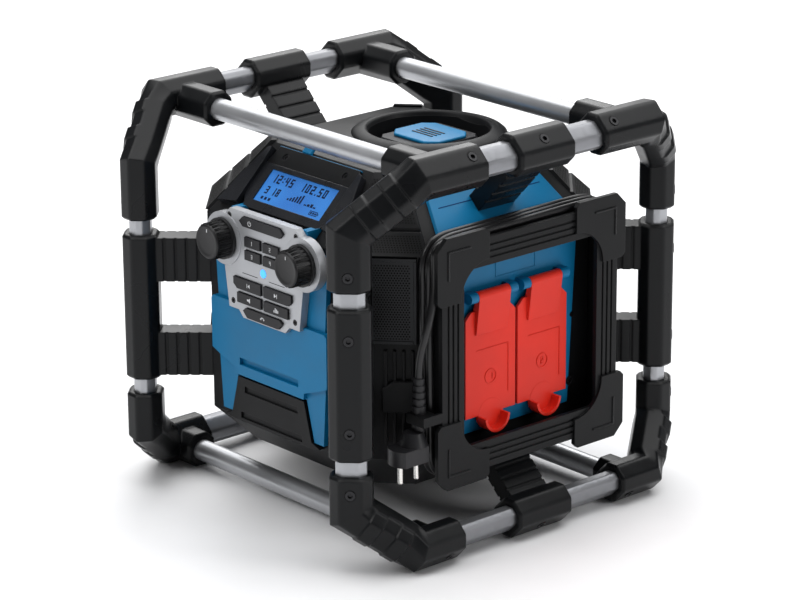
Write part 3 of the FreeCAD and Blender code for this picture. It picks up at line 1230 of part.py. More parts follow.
def speaker_grilles():
    solids = [corner_solid(side, end, D.speaker_z, grille) for side, n in SIDES for end, m in ENDS]
    keep("speaker_grilles", shape("speaker_grilles", Part.makeCompound(solids)))


def subwoofer():
    """The bass driver behind the lower front panel."""
    face = -(D.body_half_y - D.shell_wall - D.seat_gap)
    out = Vector(0, -1, 0)
    back = Vector(0, face + D.woofer_deep, D.woofer_z)
    basket = Part.makeCone(24, D.woofer_radius, D.woofer_deep - 16, back + out * 16, out)
    dish = Part.makeCone(12, D.woofer_radius - 6, D.woofer_deep - 24, back + out * 24, out)
    magnet = Part.makeCylinder(32, 18, back, out)
    solid = basket.cut(dish).fuse(magnet)
    floor = octagon_loft([(D.body_floor_z + D.shell_wall + 0.2, D.body_chamfer + 2), (D.body_floor_z + D.body_chamfer, 4), (D.eave_z, 4)])
    keep("subwoofer", shape("subwoofer", solid.common(floor)))


def circuit_board():
    board = box("board_plate", ("150", "board_thick", "62"), ("-75", "board_y", "200"))
    chips = [box("board_chip_%d" % i, ("20", "4", "16"), ("-60 + %d" % (34 * i), "board_y + board_thick - 0.2", "214")) for i in range(4)]
    # Spacers carry the board on the front wall
    spacers = [cylinder("board_spacer_%d_%d" % (side, i), "spacer_radius", "body_half_y - shell_wall - seat_gap + board_y + 0.5",
                        ("%d*spacer_x" % side, "board_y + 0.5", "spacer_z + %d*spacer_step" % i), "y")
               for side in (-1, 1) for i in range(2)]
    keep("circuit_board", fuse("circuit_board", [board] + chips + spacers))


def power_supply():
    base_z = "body_floor_z + shell_wall + seat_gap"
    case = box("supply_case", ("supply_width", "supply_length", "supply_height"), ("10", "-20", base_z))
    ribs = [box("supply_rib_%d" % i, ("supply_width - 12", "3", "10"), ("16", "-14 + %d" % (12 * i), base_z + " + supply_height - 0.5"))
            for i in range(8)]
    keep("power_supply", fuse("power_supply", [case] + ribs))


elbows()
post_sleeves()
tube_brackets()
post_tubes()
side_tubes()
cross_tubes()
main_housing()
top_cover()
front_bezel()
bass_panel()
control_plate()
buttons()
knobs()
knob_encoders()
status_light()
display_bezel()
display_pieces()
side_panel()
hinge_pins()
outlet_covers()
outlet_sockets()
cord_frame()
mains_plug()
plug_pins()
mains_cord()
rear_panel()
left_panel()
media_door()
battery_pack()
corner_speakers()
speaker_grilles()
subwoofer()
circuit_board()
power_supply()
keep("torx_screws", shape("torx_screws", Part.makeCompound(screws)))

doc.recompute()
for obj in doc.Objects:
    if "Invalid" in obj.State or "Error" in obj.State:
        raise RuntimeError("%s failed: %s" % (obj.Name, obj.State))
for name, obj in nodes:
    if obj.Shape.isNull() or not obj.Shape.isValid():
        raise RuntimeError("%s has no valid shape" % name)
for name, obj in nodes:
    obj.Shape.exportStep("parts/%s.step" % name)
print("%d sub-parts" % len(nodes))
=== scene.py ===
import json
import math

import bpy
from mathutils import Matrix, Vector


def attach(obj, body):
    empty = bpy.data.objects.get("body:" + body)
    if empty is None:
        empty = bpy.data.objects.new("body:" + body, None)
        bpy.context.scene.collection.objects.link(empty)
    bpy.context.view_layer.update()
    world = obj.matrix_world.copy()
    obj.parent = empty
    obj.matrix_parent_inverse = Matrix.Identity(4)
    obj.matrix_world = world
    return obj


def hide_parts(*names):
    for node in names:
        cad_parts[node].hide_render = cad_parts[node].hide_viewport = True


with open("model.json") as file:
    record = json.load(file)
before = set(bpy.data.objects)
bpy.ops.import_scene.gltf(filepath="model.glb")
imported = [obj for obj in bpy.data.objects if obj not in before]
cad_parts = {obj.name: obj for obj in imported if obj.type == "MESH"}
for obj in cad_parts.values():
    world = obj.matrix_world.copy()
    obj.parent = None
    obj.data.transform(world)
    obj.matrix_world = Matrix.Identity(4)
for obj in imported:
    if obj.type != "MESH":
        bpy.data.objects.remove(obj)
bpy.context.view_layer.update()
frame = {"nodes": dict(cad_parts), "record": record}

MM = 0.001
# Sizes that the source of the part uses too, in millimetres
HALF_X = 150.0
HALF_Y = 151.0
CORNER_X = 93.0
CORNER_Y = 98.0
EAVE_Z = 276.0
ROOF_Z = 334.0
ROOF_INSET = 60.0
WELL_Y = 37.0
OUTLET_Y = 32.0
RING_MIDDLE_Z = 182.5
KNOB_X = 56.0
KNOB_Z = 260.0
PLATE_FRONT = 164.2
BUTTON_FRONT = 166.4
COVER_FRONT = 159.0
PAD_FRONT = 181.0
PANEL_FRONT = 153.1
SLOPE_EDGE = 154.5
GUARD_THICK = 4.0
# The grilles and their holes, in millimetres
GRILLE_HALF = 32.5
GRILLE_LOW = 194.0
GRILLE_TOP = 274.0
NOTCH_TOP = 247.4
ARM_CLEAR = 12.5
HOLE_PITCH = 2.6
ROW_PITCH = HOLE_PITCH * 0.87
# The corner faces' sides: left or right, then front or rear
CORNERS = ((-1, -1), (-1, 1), (1, -1), (1, 1))


# Materials

def add(tree, kind, **sockets):
    node = tree.nodes.new(kind)
    for name, value in sockets.items():
        node.inputs[name.replace("_", " ")].default_value = value
    return node


def empty_material(name):
    made = bpy.data.materials.new(name)
    made.use_nodes = True
    return made, made.node_tree, made.node_tree.nodes["Principled BSDF"]


def material(name, color, rough, metallic=0.0, grain=900.0, relief=0.12, vary=0.18, edge=0.0, round_mm=0.7,
             coat=0.0, stretch=(1, 1, 1), smudge=0.06, shine=0.42):
    """Plastic, rubber or metal: a fine grain, slow changes of tone and gloss, and softly worn edges with a
    painted edge highlight.

    vary and smudge are how far the tone and the roughness drift, and shine is the bare surface's reflection."""
    made, tree, shader = empty_material(name)
    shader.inputs["Metallic"].default_value = metallic
    shader.inputs["Specular IOR Level"].default_value = shine
    shader.inputs["Coat Weight"].default_value = coat
    shader.inputs["Coat Roughness"].default_value = 0.25
    link = tree.links.new
    place = tree.nodes.new("ShaderNodeTexCoord")
    squeeze = tree.nodes.new("ShaderNodeMapping")
    squeeze.inputs["Scale"].default_value = stretch
    link(place.outputs["Object"], squeeze.inputs["Vector"])
    fine = add(tree, "ShaderNodeTexNoise", Scale=grain, Detail=4.0, Roughness=0.6)
    slow = add(tree, "ShaderNodeTexNoise", Scale=14.0, Detail=3.0, Roughness=0.55)
    link(squeeze.outputs["Vector"], fine.inputs["Vector"])
    link(place.outputs["Object"], slow.inputs["Vector"])
    rounded = add(tree, "ShaderNodeBevel", Radius=round_mm * MM)
    rounded.samples = 4
    bump = add(tree, "ShaderNodeBump", Strength=relief, Distance=0.0002)
    link(fine.outputs["Fac"], bump.inputs["Height"])
    link(rounded.outputs["Normal"], bump.inputs["Normal"])
    link(bump.outputs["Normal"], shader.inputs["Normal"])
    tone = tree.nodes.new("ShaderNodeValToRGB")
    dark, light = tone.color_ramp.elements
    dark.position = 0.3
    light.position = 0.7
    dark.color = [c * (1 - vary) for c in color] + [1]
    light.color = [min(1, c * (1 + vary)) for c in color] + [1]
    link(slow.outputs["Fac"], tone.inputs["Fac"])
    colour_out = tone.outputs["Color"]
    # edge sets how far the edges are lightened: edge wear and a painted edge highlight
    if edge:
        colour_out = worn_and_lit_edges(tree, rounded, colour_out, color, edge)
    link(colour_out, shader.inputs["Base Color"])
    least = max(0.03, rough - smudge)
    gloss = add(tree, "ShaderNodeMapRange", From_Min=0.3, From_Max=0.7, To_Min=least, To_Max=rough + smudge)
    link(slow.outputs["Fac"], gloss.inputs["Value"])
    link(gloss.outputs["Result"], shader.inputs["Roughness"])
    return made


def worn_and_lit_edges(tree, rounded, colour_out, color, edge):
    """Lightens the colour where the rounded normal departs from the face's own: edge wear and a painted edge
    highlight.
    """
    link = tree.links.new
    flat = tree.nodes.new("ShaderNodeNewGeometry")
    facing = tree.nodes.new("ShaderNodeVectorMath")
    facing.operation = "DOT_PRODUCT"
    link(rounded.outputs["Normal"], facing.inputs[0])
    link(flat.outputs["Normal"], facing.inputs[1])
    share = add(tree, "ShaderNodeMapRange", From_Min=0.99, From_Max=0.8, To_Min=0.0, To_Max=edge)
    link(facing.outputs["Value"], share.inputs["Value"])
    mixed = tree.nodes.new("ShaderNodeMix")
    mixed.data_type = "RGBA"
    link(share.outputs["Result"], mixed.inputs["Factor"])
    link(colour_out, mixed.inputs[6])
    # The lighter colour at the edges: wear and a painted highlight
    mixed.inputs[7].default_value = [min(1, c * 1.5 + 0.03) for c in color] + [1]
    return mixed.outputs[2]


def glowing(name, color, strength, rim):
    """A lit display or lamp: its glow drifts in patches between a bright tone and a deeper one."""
    made, tree, shader = empty_material(name)
    shader.inputs["Roughness"].default_value = 0.4
    shader.inputs["Emission Strength"].default_value = strength
    place = tree.nodes.new("ShaderNodeTexCoord")
    spread = add(tree, "ShaderNodeTexNoise", Scale=22.0, Detail=2.0)
    ramp = tree.nodes.new("ShaderNodeValToRGB")
    deep, bright = ramp.color_ramp.elements
    deep.color = rim + [1]
    deep.position = 0.25
    bright.color = color + [1]
    bright.position = 0.6
    link = tree.links.new
    link(place.outputs["Object"], spread.inputs["Vector"])
    link(spread.outputs["Fac"], ramp.inputs["Fac"])
    link(ramp.outputs["Color"], shader.inputs["Base Color"])
    link(ramp.outputs["Color"], shader.inputs["Emission Color"])
    return made


def clear_window():
    made = material("window_clear", (0.05, 0.07, 0.10), 0.08, grain=200.0, relief=0.01, vary=0.02, smudge=0.02,
                    shine=0.3)
    shader = made.node_tree.nodes["Principled BSDF"]
    shader.inputs["Alpha"].default_value = 0.07
    return made


CAGE = material("cage_black", (0.0055, 0.006, 0.0068), 0.30,
                grain=700, relief=0.10, edge=0.25, round_mm=2.2, shine=0.20)
BODY = material("body_black", (0.0065, 0.0068, 0.0075), 0.46,
                grain=1100, relief=0.25, edge=0.3, round_mm=0.8, shine=0.17)
BLUE = material("panel_blue", (0.001, 0.150, 0.325), 0.42,
                grain=1200, relief=0.12, vary=0.10, edge=0.22, round_mm=0.6, shine=0.24)
RED = material("cover_red", (0.74, 0.028, 0.014), 0.40,
               grain=1200, relief=0.10, vary=0.08, edge=0.2, round_mm=0.7, shine=0.22)
TUBE = material("tube_metal", (0.40, 0.41, 0.43), 0.38,
                metallic=0.75, grain=160, relief=0.05, vary=0.05, round_mm=0.4)
# A darker copy of the tube metal for the side tubes: painted shade that holds down the top lamp's highlight on
# their flat faces
RAIL_PAINTED_SHADE = material("rail_metal_painted_shade", (0.24, 0.245, 0.26), 0.40,
                metallic=0.75, grain=160, relief=0.05, vary=0.05, round_mm=0.4)
# A lighter copy of the tube metal for the cross tubes: painted light
CROSS_PAINTED_LIGHT = material("cross_tube_metal_painted_light", (0.46, 0.47, 0.49), 0.34,
                 metallic=0.75, grain=240, relief=0.06, vary=0.05, stretch=(0.04, 1, 1), round_mm=0.4)
SILVER = material("silver_plate", (0.40, 0.41, 0.43), 0.38,
                  metallic=0.55, grain=1500, relief=0.10, vary=0.05, edge=0.3)
BUTTON = material("button_dark", (0.009, 0.009, 0.011), 0.40,
                  grain=1500, relief=0.15, edge=0.25, round_mm=0.6, shine=0.28)
KNOB = material("knob_rubber", (0.009, 0.009, 0.010), 0.36,
                grain=1300, relief=0.12, edge=0.3, round_mm=0.5, shine=0.3)
STEEL = material("steel", (0.5, 0.5, 0.52), 0.3, metallic=1.0, grain=400, relief=0.06, vary=0.08)
SCREW = material("screw_steel", (0.018, 0.018, 0.020), 0.26,
                 metallic=0.5, grain=900, relief=0.08, edge=0.3, round_mm=0.3)
GLOSS = material("display_frame", (0.012, 0.013, 0.016), 0.28,
                 grain=1400, relief=0.06, edge=0.25, round_mm=0.8, coat=0.15, shine=0.3)
CORD = material("cord_rubber", (0.011, 0.011, 0.012), 0.32, grain=600, relief=0.12, vary=0.2, shine=0.4)
PLUG = material("plug_rubber", (0.018, 0.018, 0.020), 0.40,
                grain=1200, relief=0.15, edge=0.3, round_mm=0.8, shine=0.3)
NICKEL = material("nickel", (0.78, 0.77, 0.74), 0.22, metallic=1.0, grain=300, relief=0.03, vary=0.05)
BATTERY = material("battery_black", (0.010, 0.010, 0.012), 0.48, grain=1100, relief=0.22, edge=0.3, shine=0.26)
SPEAKER = material("speaker_black", (0.03, 0.03, 0.03), 0.5, grain=500, relief=0.15)
MESH = material("grille_black", (0.020, 0.021, 0.023), 0.45,
                metallic=0.3, grain=900, relief=0.08, edge=0.25, round_mm=0.4, shine=0.28)
# Flat near-black shapes for holes and screw sockets, painted shade where there are openings and recesses; the
# same dark also draws the plate's seam lines
HOLE_SHADE = material("hole_painted_shade", (0.002, 0.002, 0.002), 0.8, grain=900, relief=0.05, round_mm=0.1, shine=0.1)
SEAM = material("seam_blue", (0.0, 0.030, 0.11), 0.6, grain=900, relief=0.05, round_mm=0.1, shine=0.1)
BOARD = material("board_green", (0.02, 0.14, 0.06), 0.35, grain=500, relief=0.08)
SUPPLY = material("supply_metal", (0.45, 0.45, 0.46), 0.35, metallic=0.9, grain=300, relief=0.08)
MARK = material("printed_mark", (0.62, 0.63, 0.65), 0.5, grain=1500, relief=0.05, vary=0.05, round_mm=0.1)
INK = material("display_ink", (0.003, 0.008, 0.045), 0.5,
               grain=1500, relief=0.02, vary=0.1, round_mm=0.1, shine=0.1)
SCREEN = glowing("display_face", [0.030, 0.22, 0.66], 0.30, [0.016, 0.13, 0.50])
LAMP = glowing("lamp_blue", [0.06, 0.42, 1.0], 0.9, [0.02, 0.22, 0.9])

FINISHES = {
    "body_black": BODY, "panel_blue": BLUE, "silver_plate": SILVER, "button_dark": BUTTON,
    "knob_rubber": KNOB, "steel": STEEL, "light_lens": LAMP, "display_frame": GLOSS,
    "display_face": SCREEN, "clear_window": clear_window(), "cover_red": RED, "socket_black": BODY,
    "plug_rubber": PLUG, "nickel": NICKEL, "cord_rubber": CORD, "door_black": BODY,
    "battery_black": BATTERY, "speaker_black": SPEAKER, "grille_black": MESH, "board_green": BOARD,
    "supply_metal": SUPPLY, "screw_steel": SCREW, "cage_black": CAGE, "bare_tube": TUBE,
}
# The level tubes get lighter and darker copies of the same tube metal: painted light and painted shade
TUBE_LIGHT_AND_SHADE_COPIES = {"cross_tubes": CROSS_PAINTED_LIGHT, "side_tubes": RAIL_PAINTED_SHADE}


def finish_nodes():
    """Gives each node of the part the material of its slot; the level tubes have their own, lighter and darker
    copies of the tube metal as painted light and painted shade.
    """
    for part in frame["record"]["subparts"]:
        node = frame["nodes"][part["node"]]
        chosen = TUBE_LIGHT_AND_SHADE_COPIES.get(part["node"], FINISHES[part["material_slot"]])
        for place in node.material_slots:
            place.material = chosen


# Building blocks for the added pieces

class Plane:
    """A place to draw on: a point, the directions across and up, and the way out, all in millimetres."""

    def __init__(self, origin, across, up):
        self.origin = Vector(origin)
        self.across = Vector(across).normalized()
        self.up = Vector(up).normalized()
        self.out = self.across.cross(self.up)

    def at(self, x, y, height=0.0):
        return (self.origin + self.across * x + self.up * y + self.out * height) * MM


FRONT = Plane((0, -PLATE_FRONT, 0), (1, 0, 0), (0, 0, 1))
BUTTONS = Plane((0, -BUTTON_FRONT, 0), (1, 0, 0), (0, 0, 1))
SLOPE = Plane((0, -HALF_Y, EAVE_Z), (1, 0, 0), (0, ROOF_INSET, ROOF_Z - EAVE_Z))
SIDE = Plane((PANEL_FRONT, 0, 0), (0, 1, 0), (0, 0, 1))
SIDE_SLOPE = Plane((SLOPE_EDGE, 0, EAVE_Z), (0, 1, 0), (-ROOF_INSET, 0, ROOF_Z - EAVE_Z))
COVERS = Plane((COVER_FRONT, 0, 0), (0, 1, 0), (0, 0, 1))
PADS = Plane((PAD_FRONT, 0, 0), (0, 1, 0), (0, 0, 1))


def corner_plane(side, end):
    """The body's corner face, with its middle where a line square to it meets the axis."""
    run = Vector((HALF_X - CORNER_X, CORNER_Y - HALF_Y, 0))
    normal = Vector((-run.y, run.x, 0)).normalized()
    distance = normal.dot(Vector((CORNER_X, HALF_Y, 0)))
    normal = Vector((normal.x * side, normal.y * end, 0))
    return Plane(normal * distance, (-normal.y, normal.x, 0), (0, 0, 1))


def piece(name, points, faces, finish, body="root", bevel=0.0):
    mesh = bpy.data.meshes.new(name)
    mesh.from_pydata([tuple(p) for p in points], [], faces)
    mesh.validate()
    mesh.materials.append(finish)
    obj = bpy.data.objects.new(name, mesh)
    bpy.context.collection.objects.link(obj)
    if bevel:
        soften = obj.modifiers.new("soften", "BEVEL")
        soften.width = bevel * MM
        soften.segments = 2
        soften.limit_method = "ANGLE"
    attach(obj, body)
    return obj


def slabs(name, plane, outlines, low, high, finish, body="root", bevel=0.0):
    """Flat shapes with these outlines, from one height above the plane to another, as one piece."""
    points, faces = [], []
    for outline in outlines:
        base, count = len(points), len(outline)
        points += [plane.at(x, y, low) for x, y in outline] + [plane.at(x, y, high) for x, y in outline]
        faces.append(list(range(base + count - 1, base - 1, -1)))
        faces.append(list(range(base + count, base + 2 * count)))
        for i in range(count):
            after = (i + 1) % count
            faces.append([base + i, base + after, base + count + after, base + count + i])
    return piece(name, points, faces, finish, body, bevel)


def bar(low_x, low_y, high_x, high_y):
    return [(low_x, low_y), (high_x, low_y), (high_x, high_y), (low_x, high_y)]


def turns(count):
    """Even steps round a circle, in radians."""
    return [2 * math.pi * i / count for i in range(count)]


def disc(x, y, radius, count=32):
    return [(x + radius * math.cos(turn), y + radius * math.sin(turn)) for turn in turns(count)]


def arc_band(x, y, radius, width, start, stop, count=24):
    """A curved stroke between two angles, in degrees."""
    inner, outer = [], []
    for i in range(count + 1):
        turn = math.radians(start + (stop - start) * i / count)
        for edge, reach in ((inner, radius - width / 2), (outer, radius + width / 2)):
            edge.append((x + reach * math.cos(turn), y + reach * math.sin(turn)))
    return [[inner[i], outer[i], outer[i + 1], inner[i + 1]] for i in range(count)]


def box_outline(low_x, low_y, high_x, high_y, width):
    """Four strokes round a rectangle."""
    return [bar(low_x, low_y, high_x, low_y + width), bar(low_x, high_y - width, high_x, high_y),
            bar(low_x, low_y + width, low_x + width, high_y - width),
            bar(high_x - width, low_y + width, high_x, high_y - width)]


SEGMENTS = {"0": "abcdef", "1": "bc", "2": "abdeg", "3": "abcdg", "4": "bcfg",
            "5": "acdfg", "8": "abcdefg"}


def figures(text, x, y, height, weight=0.14):
    """Plain segmented numerals; weight is the stroke's share of the height."""
    wide, stroke = height * 0.5, height * weight
    strokes = []
    for letter in text:
        if letter in ".:":
            for share in ([0.0] if letter == "." else [0.25, 0.65]):
                strokes.append(bar(x, y + share * height, x + stroke, y + share * height + stroke))
            x += stroke * 2.2
            continue
        middle = y + height / 2
        parts = {
            "a": bar(x, y + height - stroke, x + wide, y + height),
            "b": bar(x + wide - stroke, middle, x + wide, y + height),
            "c": bar(x + wide - stroke, y, x + wide, middle),
            "d": bar(x, y, x + wide, y + stroke),
            "e": bar(x, y, x + stroke, middle),
            "f": bar(x, middle, x + stroke, y + height),
            "g": bar(x, middle - stroke / 2, x + wide, middle + stroke / 2),
        }
        strokes += [parts[key] for key in SEGMENTS[letter]]
        x += wide * 1.5
    return strokes


# The display and the controls

def display():
    """The lit display's plain figures, bars and battery sign."""
    weight = 0.18
    marks = figures("12:45", -40, 44, 9.0, weight) + figures("102.50", 0, 44, 9.0, weight)
    marks += figures("3", -40, 31.5, 8.0, weight) + figures("18", -31, 31.5, 8.0, weight)
    signal = [bar(-8 + 3.4 * i, 32, -5.8 + 3.4 * i, 34 + 1.4 * i) for i in range(6)]
    tone = [bar(16 + 4.2 * i, 32, 19.2 + 4.2 * i, 33.4 + 1.1 * (i % 3)) for i in range(4)]
    battery = box_outline(28, 25, 39, 29.6, 0.7) + [bar(39.3, 26.4, 40.3, 28.2)]
    charge = [bar(29.4 + 3 * i, 26.3, 31.6 + 3 * i, 28.3) for i in range(3)]
    squares = [bar(-40 + 5 * i, 25.4, -37 + 5 * i, 28.4) for i in range(3)]
    marks += signal + tone + battery + charge + squares
    slabs("display_marks", SLOPE, marks, 1.72, 1.78, INK)


def plate_marks():
    """Small pieces on the silver plate: its four screws and the shallow lines beside the buttons."""
    spots = [(-47, 284), (47, 284), (-44, 203), (44, 203)]
    slabs("plate_screw_seats", FRONT, [disc(x, z, 3.0) for x, z in spots], -0.4, 0.12, SCREW, bevel=0.2)
    slabs("plate_screw_sockets", FRONT, [star(x, z, 1.5) for x, z in spots], 0.10, 0.16, HOLE_SHADE)
    slabs("plate_seams", FRONT, [bar(-30, 232.4, -8, 233), bar(8, 232.4, 30, 233)], -0.1, 0.06, HOLE_SHADE)


def star(x, y, radius):
    """A six-lobed drive socket."""
    points = []
    for turn in turns(48):
        reach = radius * (1 + 0.22 * math.cos(6 * turn))
        points.append((x + reach * math.cos(turn), y + reach * math.sin(turn)))
    return points


def triangle(x, y, size, way):
    return [(x, y - size), (x + way * size * 1.5, y), (x, y + size)][::way]


def button_signs():
    """Printed signs: power, the four preset numbers, back, forward, mute, tone bars and a handset dot."""
    tones = [bar(16.5 + 1.8 * i, 206.6, 17.6 + 1.8 * i, 208.6 + (i * 7 % 4) * 0.8) for i in range(4)]
    horn = [(-19.4, 207.9), (-17.2, 206.3), (-17.2, 211.3), (-19.4, 209.7)]
    ends = [disc(-2.1, 195.4, 0.9, 16), disc(2.1, 195.4, 0.9, 16)]
    signs = {
        "power_button": arc_band(-16, 282.3, 2.1, 0.6, 125, 415) + [bar(-16.3, 282.2, -15.7, 285.2)],
        "preset_button_1": figures("1", -15, 262.2, 4.0),
        "preset_button_2": figures("2", 11.5, 262.2, 4.0),
        "preset_button_3": figures("3", -14.5, 249.6, 4.0),
        "preset_button_4": figures("4", 11.5, 249.6, 4.0),
        "previous_button": [bar(-21.6, 220.4, -20.9, 224.4), triangle(-17.4, 222.4, 2.0, -1)],
        "next_button": [triangle(17.4, 222.4, 2.0, 1), bar(20.9, 220.4, 21.6, 224.4)],
        "mute_button": [bar(-21.5, 207.9, -19.5, 209.7), horn],
        "equalizer_button": tones,
        "phone_button": arc_band(0, 194.2, 2.6, 1.0, 35, 145) + ends,
    }
    for name, strokes in signs.items():
        slabs(name + "_sign", BUTTONS, strokes, 0.0, 0.07, MARK, body=name)


def knob_faces():
    """The dished end of each knob, a ring round it, a pointer and the fine ribs on its side."""
    for side, name in ((-1, "knob_left"), (1, "knob_right")):
        plane = Plane((KNOB_X * side, -183.55, KNOB_Z), (1, 0, 0), (0, 0, 1))
        profile = [(0.0, 0.05), (10.5, 0.15), (12.6, 0.55), (14.2, 1.0), (15.2, 0.85), (15.8, 0.0)]
        turned(name + "_face", plane, profile, KNOB, name)
        slabs(name + "_pointer", plane, [bar(-0.5, 9.0, 0.5, 12.0)], 0.45, 0.62, MARK, body=name)
        slabs(name + "_ribs", plane, knob_ribs(), -13.0, -1.2, KNOB, body=name)


def knob_ribs():
    """Two narrow ribs between each two grooves of the grip."""
    foot, crest = 16.2, 17.35
    corners = ((-0.014, foot), (-0.008, crest), (0.008, crest), (0.014, foot))
    ribs = []
    for i, turn in enumerate(turns(72)):
        if i % 3 == 0:
            continue
        spots = [(turn + shift, reach) for shift, reach in corners]
        ribs.append([(math.cos(angle) * reach, math.sin(angle) * reach) for angle, reach in spots])
    return ribs


def turned(name, plane, profile, finish, body="root", count=64):
    """A surface turned about the plane's way out, from (radius, height) pairs."""
    points, faces = [], []
    for radius, height in profile:
        points += [plane.at(x, y, height) for x, y in disc(0, 0, radius, count)]
    for row in range(len(profile) - 1):
        for i in range(count):
            a, b = row * count + i, row * count + (i + 1) % count
            faces.append([a, b, b + count, a + count][::-1])
    obj = piece(name, points, faces, finish, body)
    for polygon in obj.data.polygons:
        polygon.use_smooth = True
    return obj


# The power side

def cover_marks():
    """Shallow frames and a plain number in a ring on each red cover."""
    covers = ((-OUTLET_Y, "outlet_cover_front", "1", 0.4), (OUTLET_Y, "outlet_cover_rear", "2", 1.6))
    for y, name, text, shift in covers:
        strokes = [bar(y - 17, 178, y + 22, 178.7), bar(y + 21.3, 132, y + 22, 178)]
        strokes += arc_band(y, 151, 6.6, 1.1, 0, 360, 36)
        strokes += figures(text, y - shift, 148, 6.0)
        slabs(name + "_marks", COVERS, strokes, -0.05, 0.6, RED, body=name)


def side_details():
    """A bare raised frame, the panel's seams and its screw holes."""
    slabs("label_frame", SIDE, box_outline(-21, 240.5, 28, 265.5, 0.8), -0.05, 0.45, BLUE)
    slabs("side_screw_holes", SIDE, [disc(y, 184, 2.6) for y in (-75, 75)], -0.05, 0.12, HOLE_SHADE)
    seams = [bar(-62, 43.5, 62, 44.5), bar(-80, 17, -46, 18), bar(-32, 17, 38, 18), bar(52, 17, 80, 18)]
    slabs("slope_seams", SIDE_SLOPE, seams, -0.05, 0.12, SEAM)
    slabs("slope_screw_holes", SIDE_SLOPE, [disc(-39, 17.5, 3.4), disc(45, 17.5, 3.4)], -0.05, 0.14, HOLE_SHADE)


def pad_marks():
    """An L-shaped line on each corner pad."""
    length, width = 27.0, 2.0
    strokes = []
    for side in (-1, 1):
        for level in (-1, 1):
            corner_y = side * 103.5
            corner_z = RING_MIDDLE_Z + level * 105.5
            below = corner_z - level * width
            strokes.append(ordered(corner_y, corner_z, corner_y - side * length, below))
            strokes.append(ordered(corner_y, below, corner_y - side * width, corner_z - level * length))
    slabs("pad_lines", PADS, strokes, -0.05, 0.9, CAGE, bevel=0.3)


def ordered(x0, y0, x1, y1):
    return bar(min(x0, x1), min(y0, y1), max(x0, x1), max(y0, y1))


# The wound mains lead

def cord_route():
    """The lead's corners in millimetres: up from the plug, round the holder twice, and into the body."""
    side, low, top = 109.1, RING_MIDDLE_Z - 111.1, RING_MIDDLE_Z + 111.1
    step = 7.7 / 4
    x = 169.5
    points = [(163, -122, 172.1), (163, -122, 188), (170.7, -118, 218), (170.0, -side, 250), (x, -side, top)]
    for lap in range(2):
        for y, z in ((side, top), (side, low), (-side, low), (-side, top)):
            x -= step
            points.append((x, y, z))
    x -= step
    points += [(x, side, top), (x, 124.4, 172), (136.0, 106.9, 172)]
    return [Vector(point) for point in points]


def control_points(corners):
    """The route with a point before and after each bend, so that the bends are short and the sides straight."""
    reach = 60.0
    points = corners[:4]
    for before, corner, after in zip(corners[3:], corners[4:], corners[5:-1]):
        back, ahead = before - corner, after - corner
        points.append(corner + back.normalized() * min(reach, back.length * 0.45))
        points.append(corner)
        points.append(corner + ahead.normalized() * min(reach, ahead.length * 0.45))
    return points + corners[-2:]


def cord():
    points = control_points(cord_route())
    curve = bpy.data.curves.new("lead", "CURVE")
    curve.dimensions = "3D"
    curve.bevel_depth = 3.6 * MM
    curve.bevel_resolution = 5
    curve.resolution_u = 10
    spline = curve.splines.new("NURBS")
    spline.points.add(len(points) - 1)
    for place, point in zip(spline.points, points):
        place.co = tuple(point * MM) + (1.0,)
    spline.order_u = 3
    spline.use_endpoint_u = True
    curve.materials.append(CORD)
    obj = bpy.data.objects.new("wound_lead", curve)
    bpy.context.collection.objects.link(obj)
    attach(obj, "root")
    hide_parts("mains_cord")


# The corners

def arm_place(side, end):
    """Where a post sleeve's arms land on a corner face, along the face."""
    plane = corner_plane(side, end)
    return Vector((side * 148.5, end * 189.0, 0)).dot(plane.across)


def corner_tag(side, end):
    return "%s_%s" % ("front" if end < 0 else "rear", "left" if side < 0 else "right")


def grilles():
    """Perforated plates over the corner drivers, notched for the sleeve's arm."""
    plates = [grille(side, end) for side, end in CORNERS]
    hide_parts("speaker_grilles")


def grille(side, end):
    """One plate with its rim and a fine pattern of holes."""
    plane, arm, tag = corner_plane(side, end), arm_place(side, end), corner_tag(side, end)
    way = 1 if arm > 0 else -1
    near = arm - way * ARM_CLEAR
    outer = -way * GRILLE_HALF
    rim = 3.0
    upper = bar(-GRILLE_HALF, NOTCH_TOP, GRILLE_HALF, GRILLE_TOP)
    lower = ordered(near, GRILLE_LOW, outer, NOTCH_TOP)
    plate = slabs("grille_plate_" + tag, plane, [upper, lower], 0.1, 1.7, MESH)
    strokes = [
        bar(-GRILLE_HALF, GRILLE_TOP - rim, GRILLE_HALF, GRILLE_TOP),
        bar(-GRILLE_HALF, NOTCH_TOP, -GRILLE_HALF + rim, GRILLE_TOP - rim),
        bar(GRILLE_HALF - rim, NOTCH_TOP, GRILLE_HALF, GRILLE_TOP - rim),
        ordered(outer, GRILLE_LOW, outer + way * rim, NOTCH_TOP),
        ordered(outer + way * rim, GRILLE_LOW, near, GRILLE_LOW + rim),
    ]
    slabs("grille_rim_" + tag, plane, strokes, 0.1, 2.6, MESH, bevel=0.5)
    flat_dots("grille_holes_" + tag, plane, grille_holes(near, way), 1.76)
    return plate


def grille_holes(near, way):
    """Staggered holes inside the rim, and clear of the notch."""
    dots = []
    for row in range(int((GRILLE_TOP - GRILLE_LOW - 8) / ROW_PITCH)):
        z = GRILLE_LOW + 5 + row * ROW_PITCH
        for k in range(int(2 * (GRILLE_HALF - 4) / HOLE_PITCH)):
            x = -GRILLE_HALF + 5 + k * HOLE_PITCH + (row % 2) * HOLE_PITCH / 2
            clear = way * x < way * near - 1.5 or z >= NOTCH_TOP + 1.5
            if clear and abs(x) < GRILLE_HALF - 4:
                dots.append(disc(x, z, 0.85, 6))
    return dots


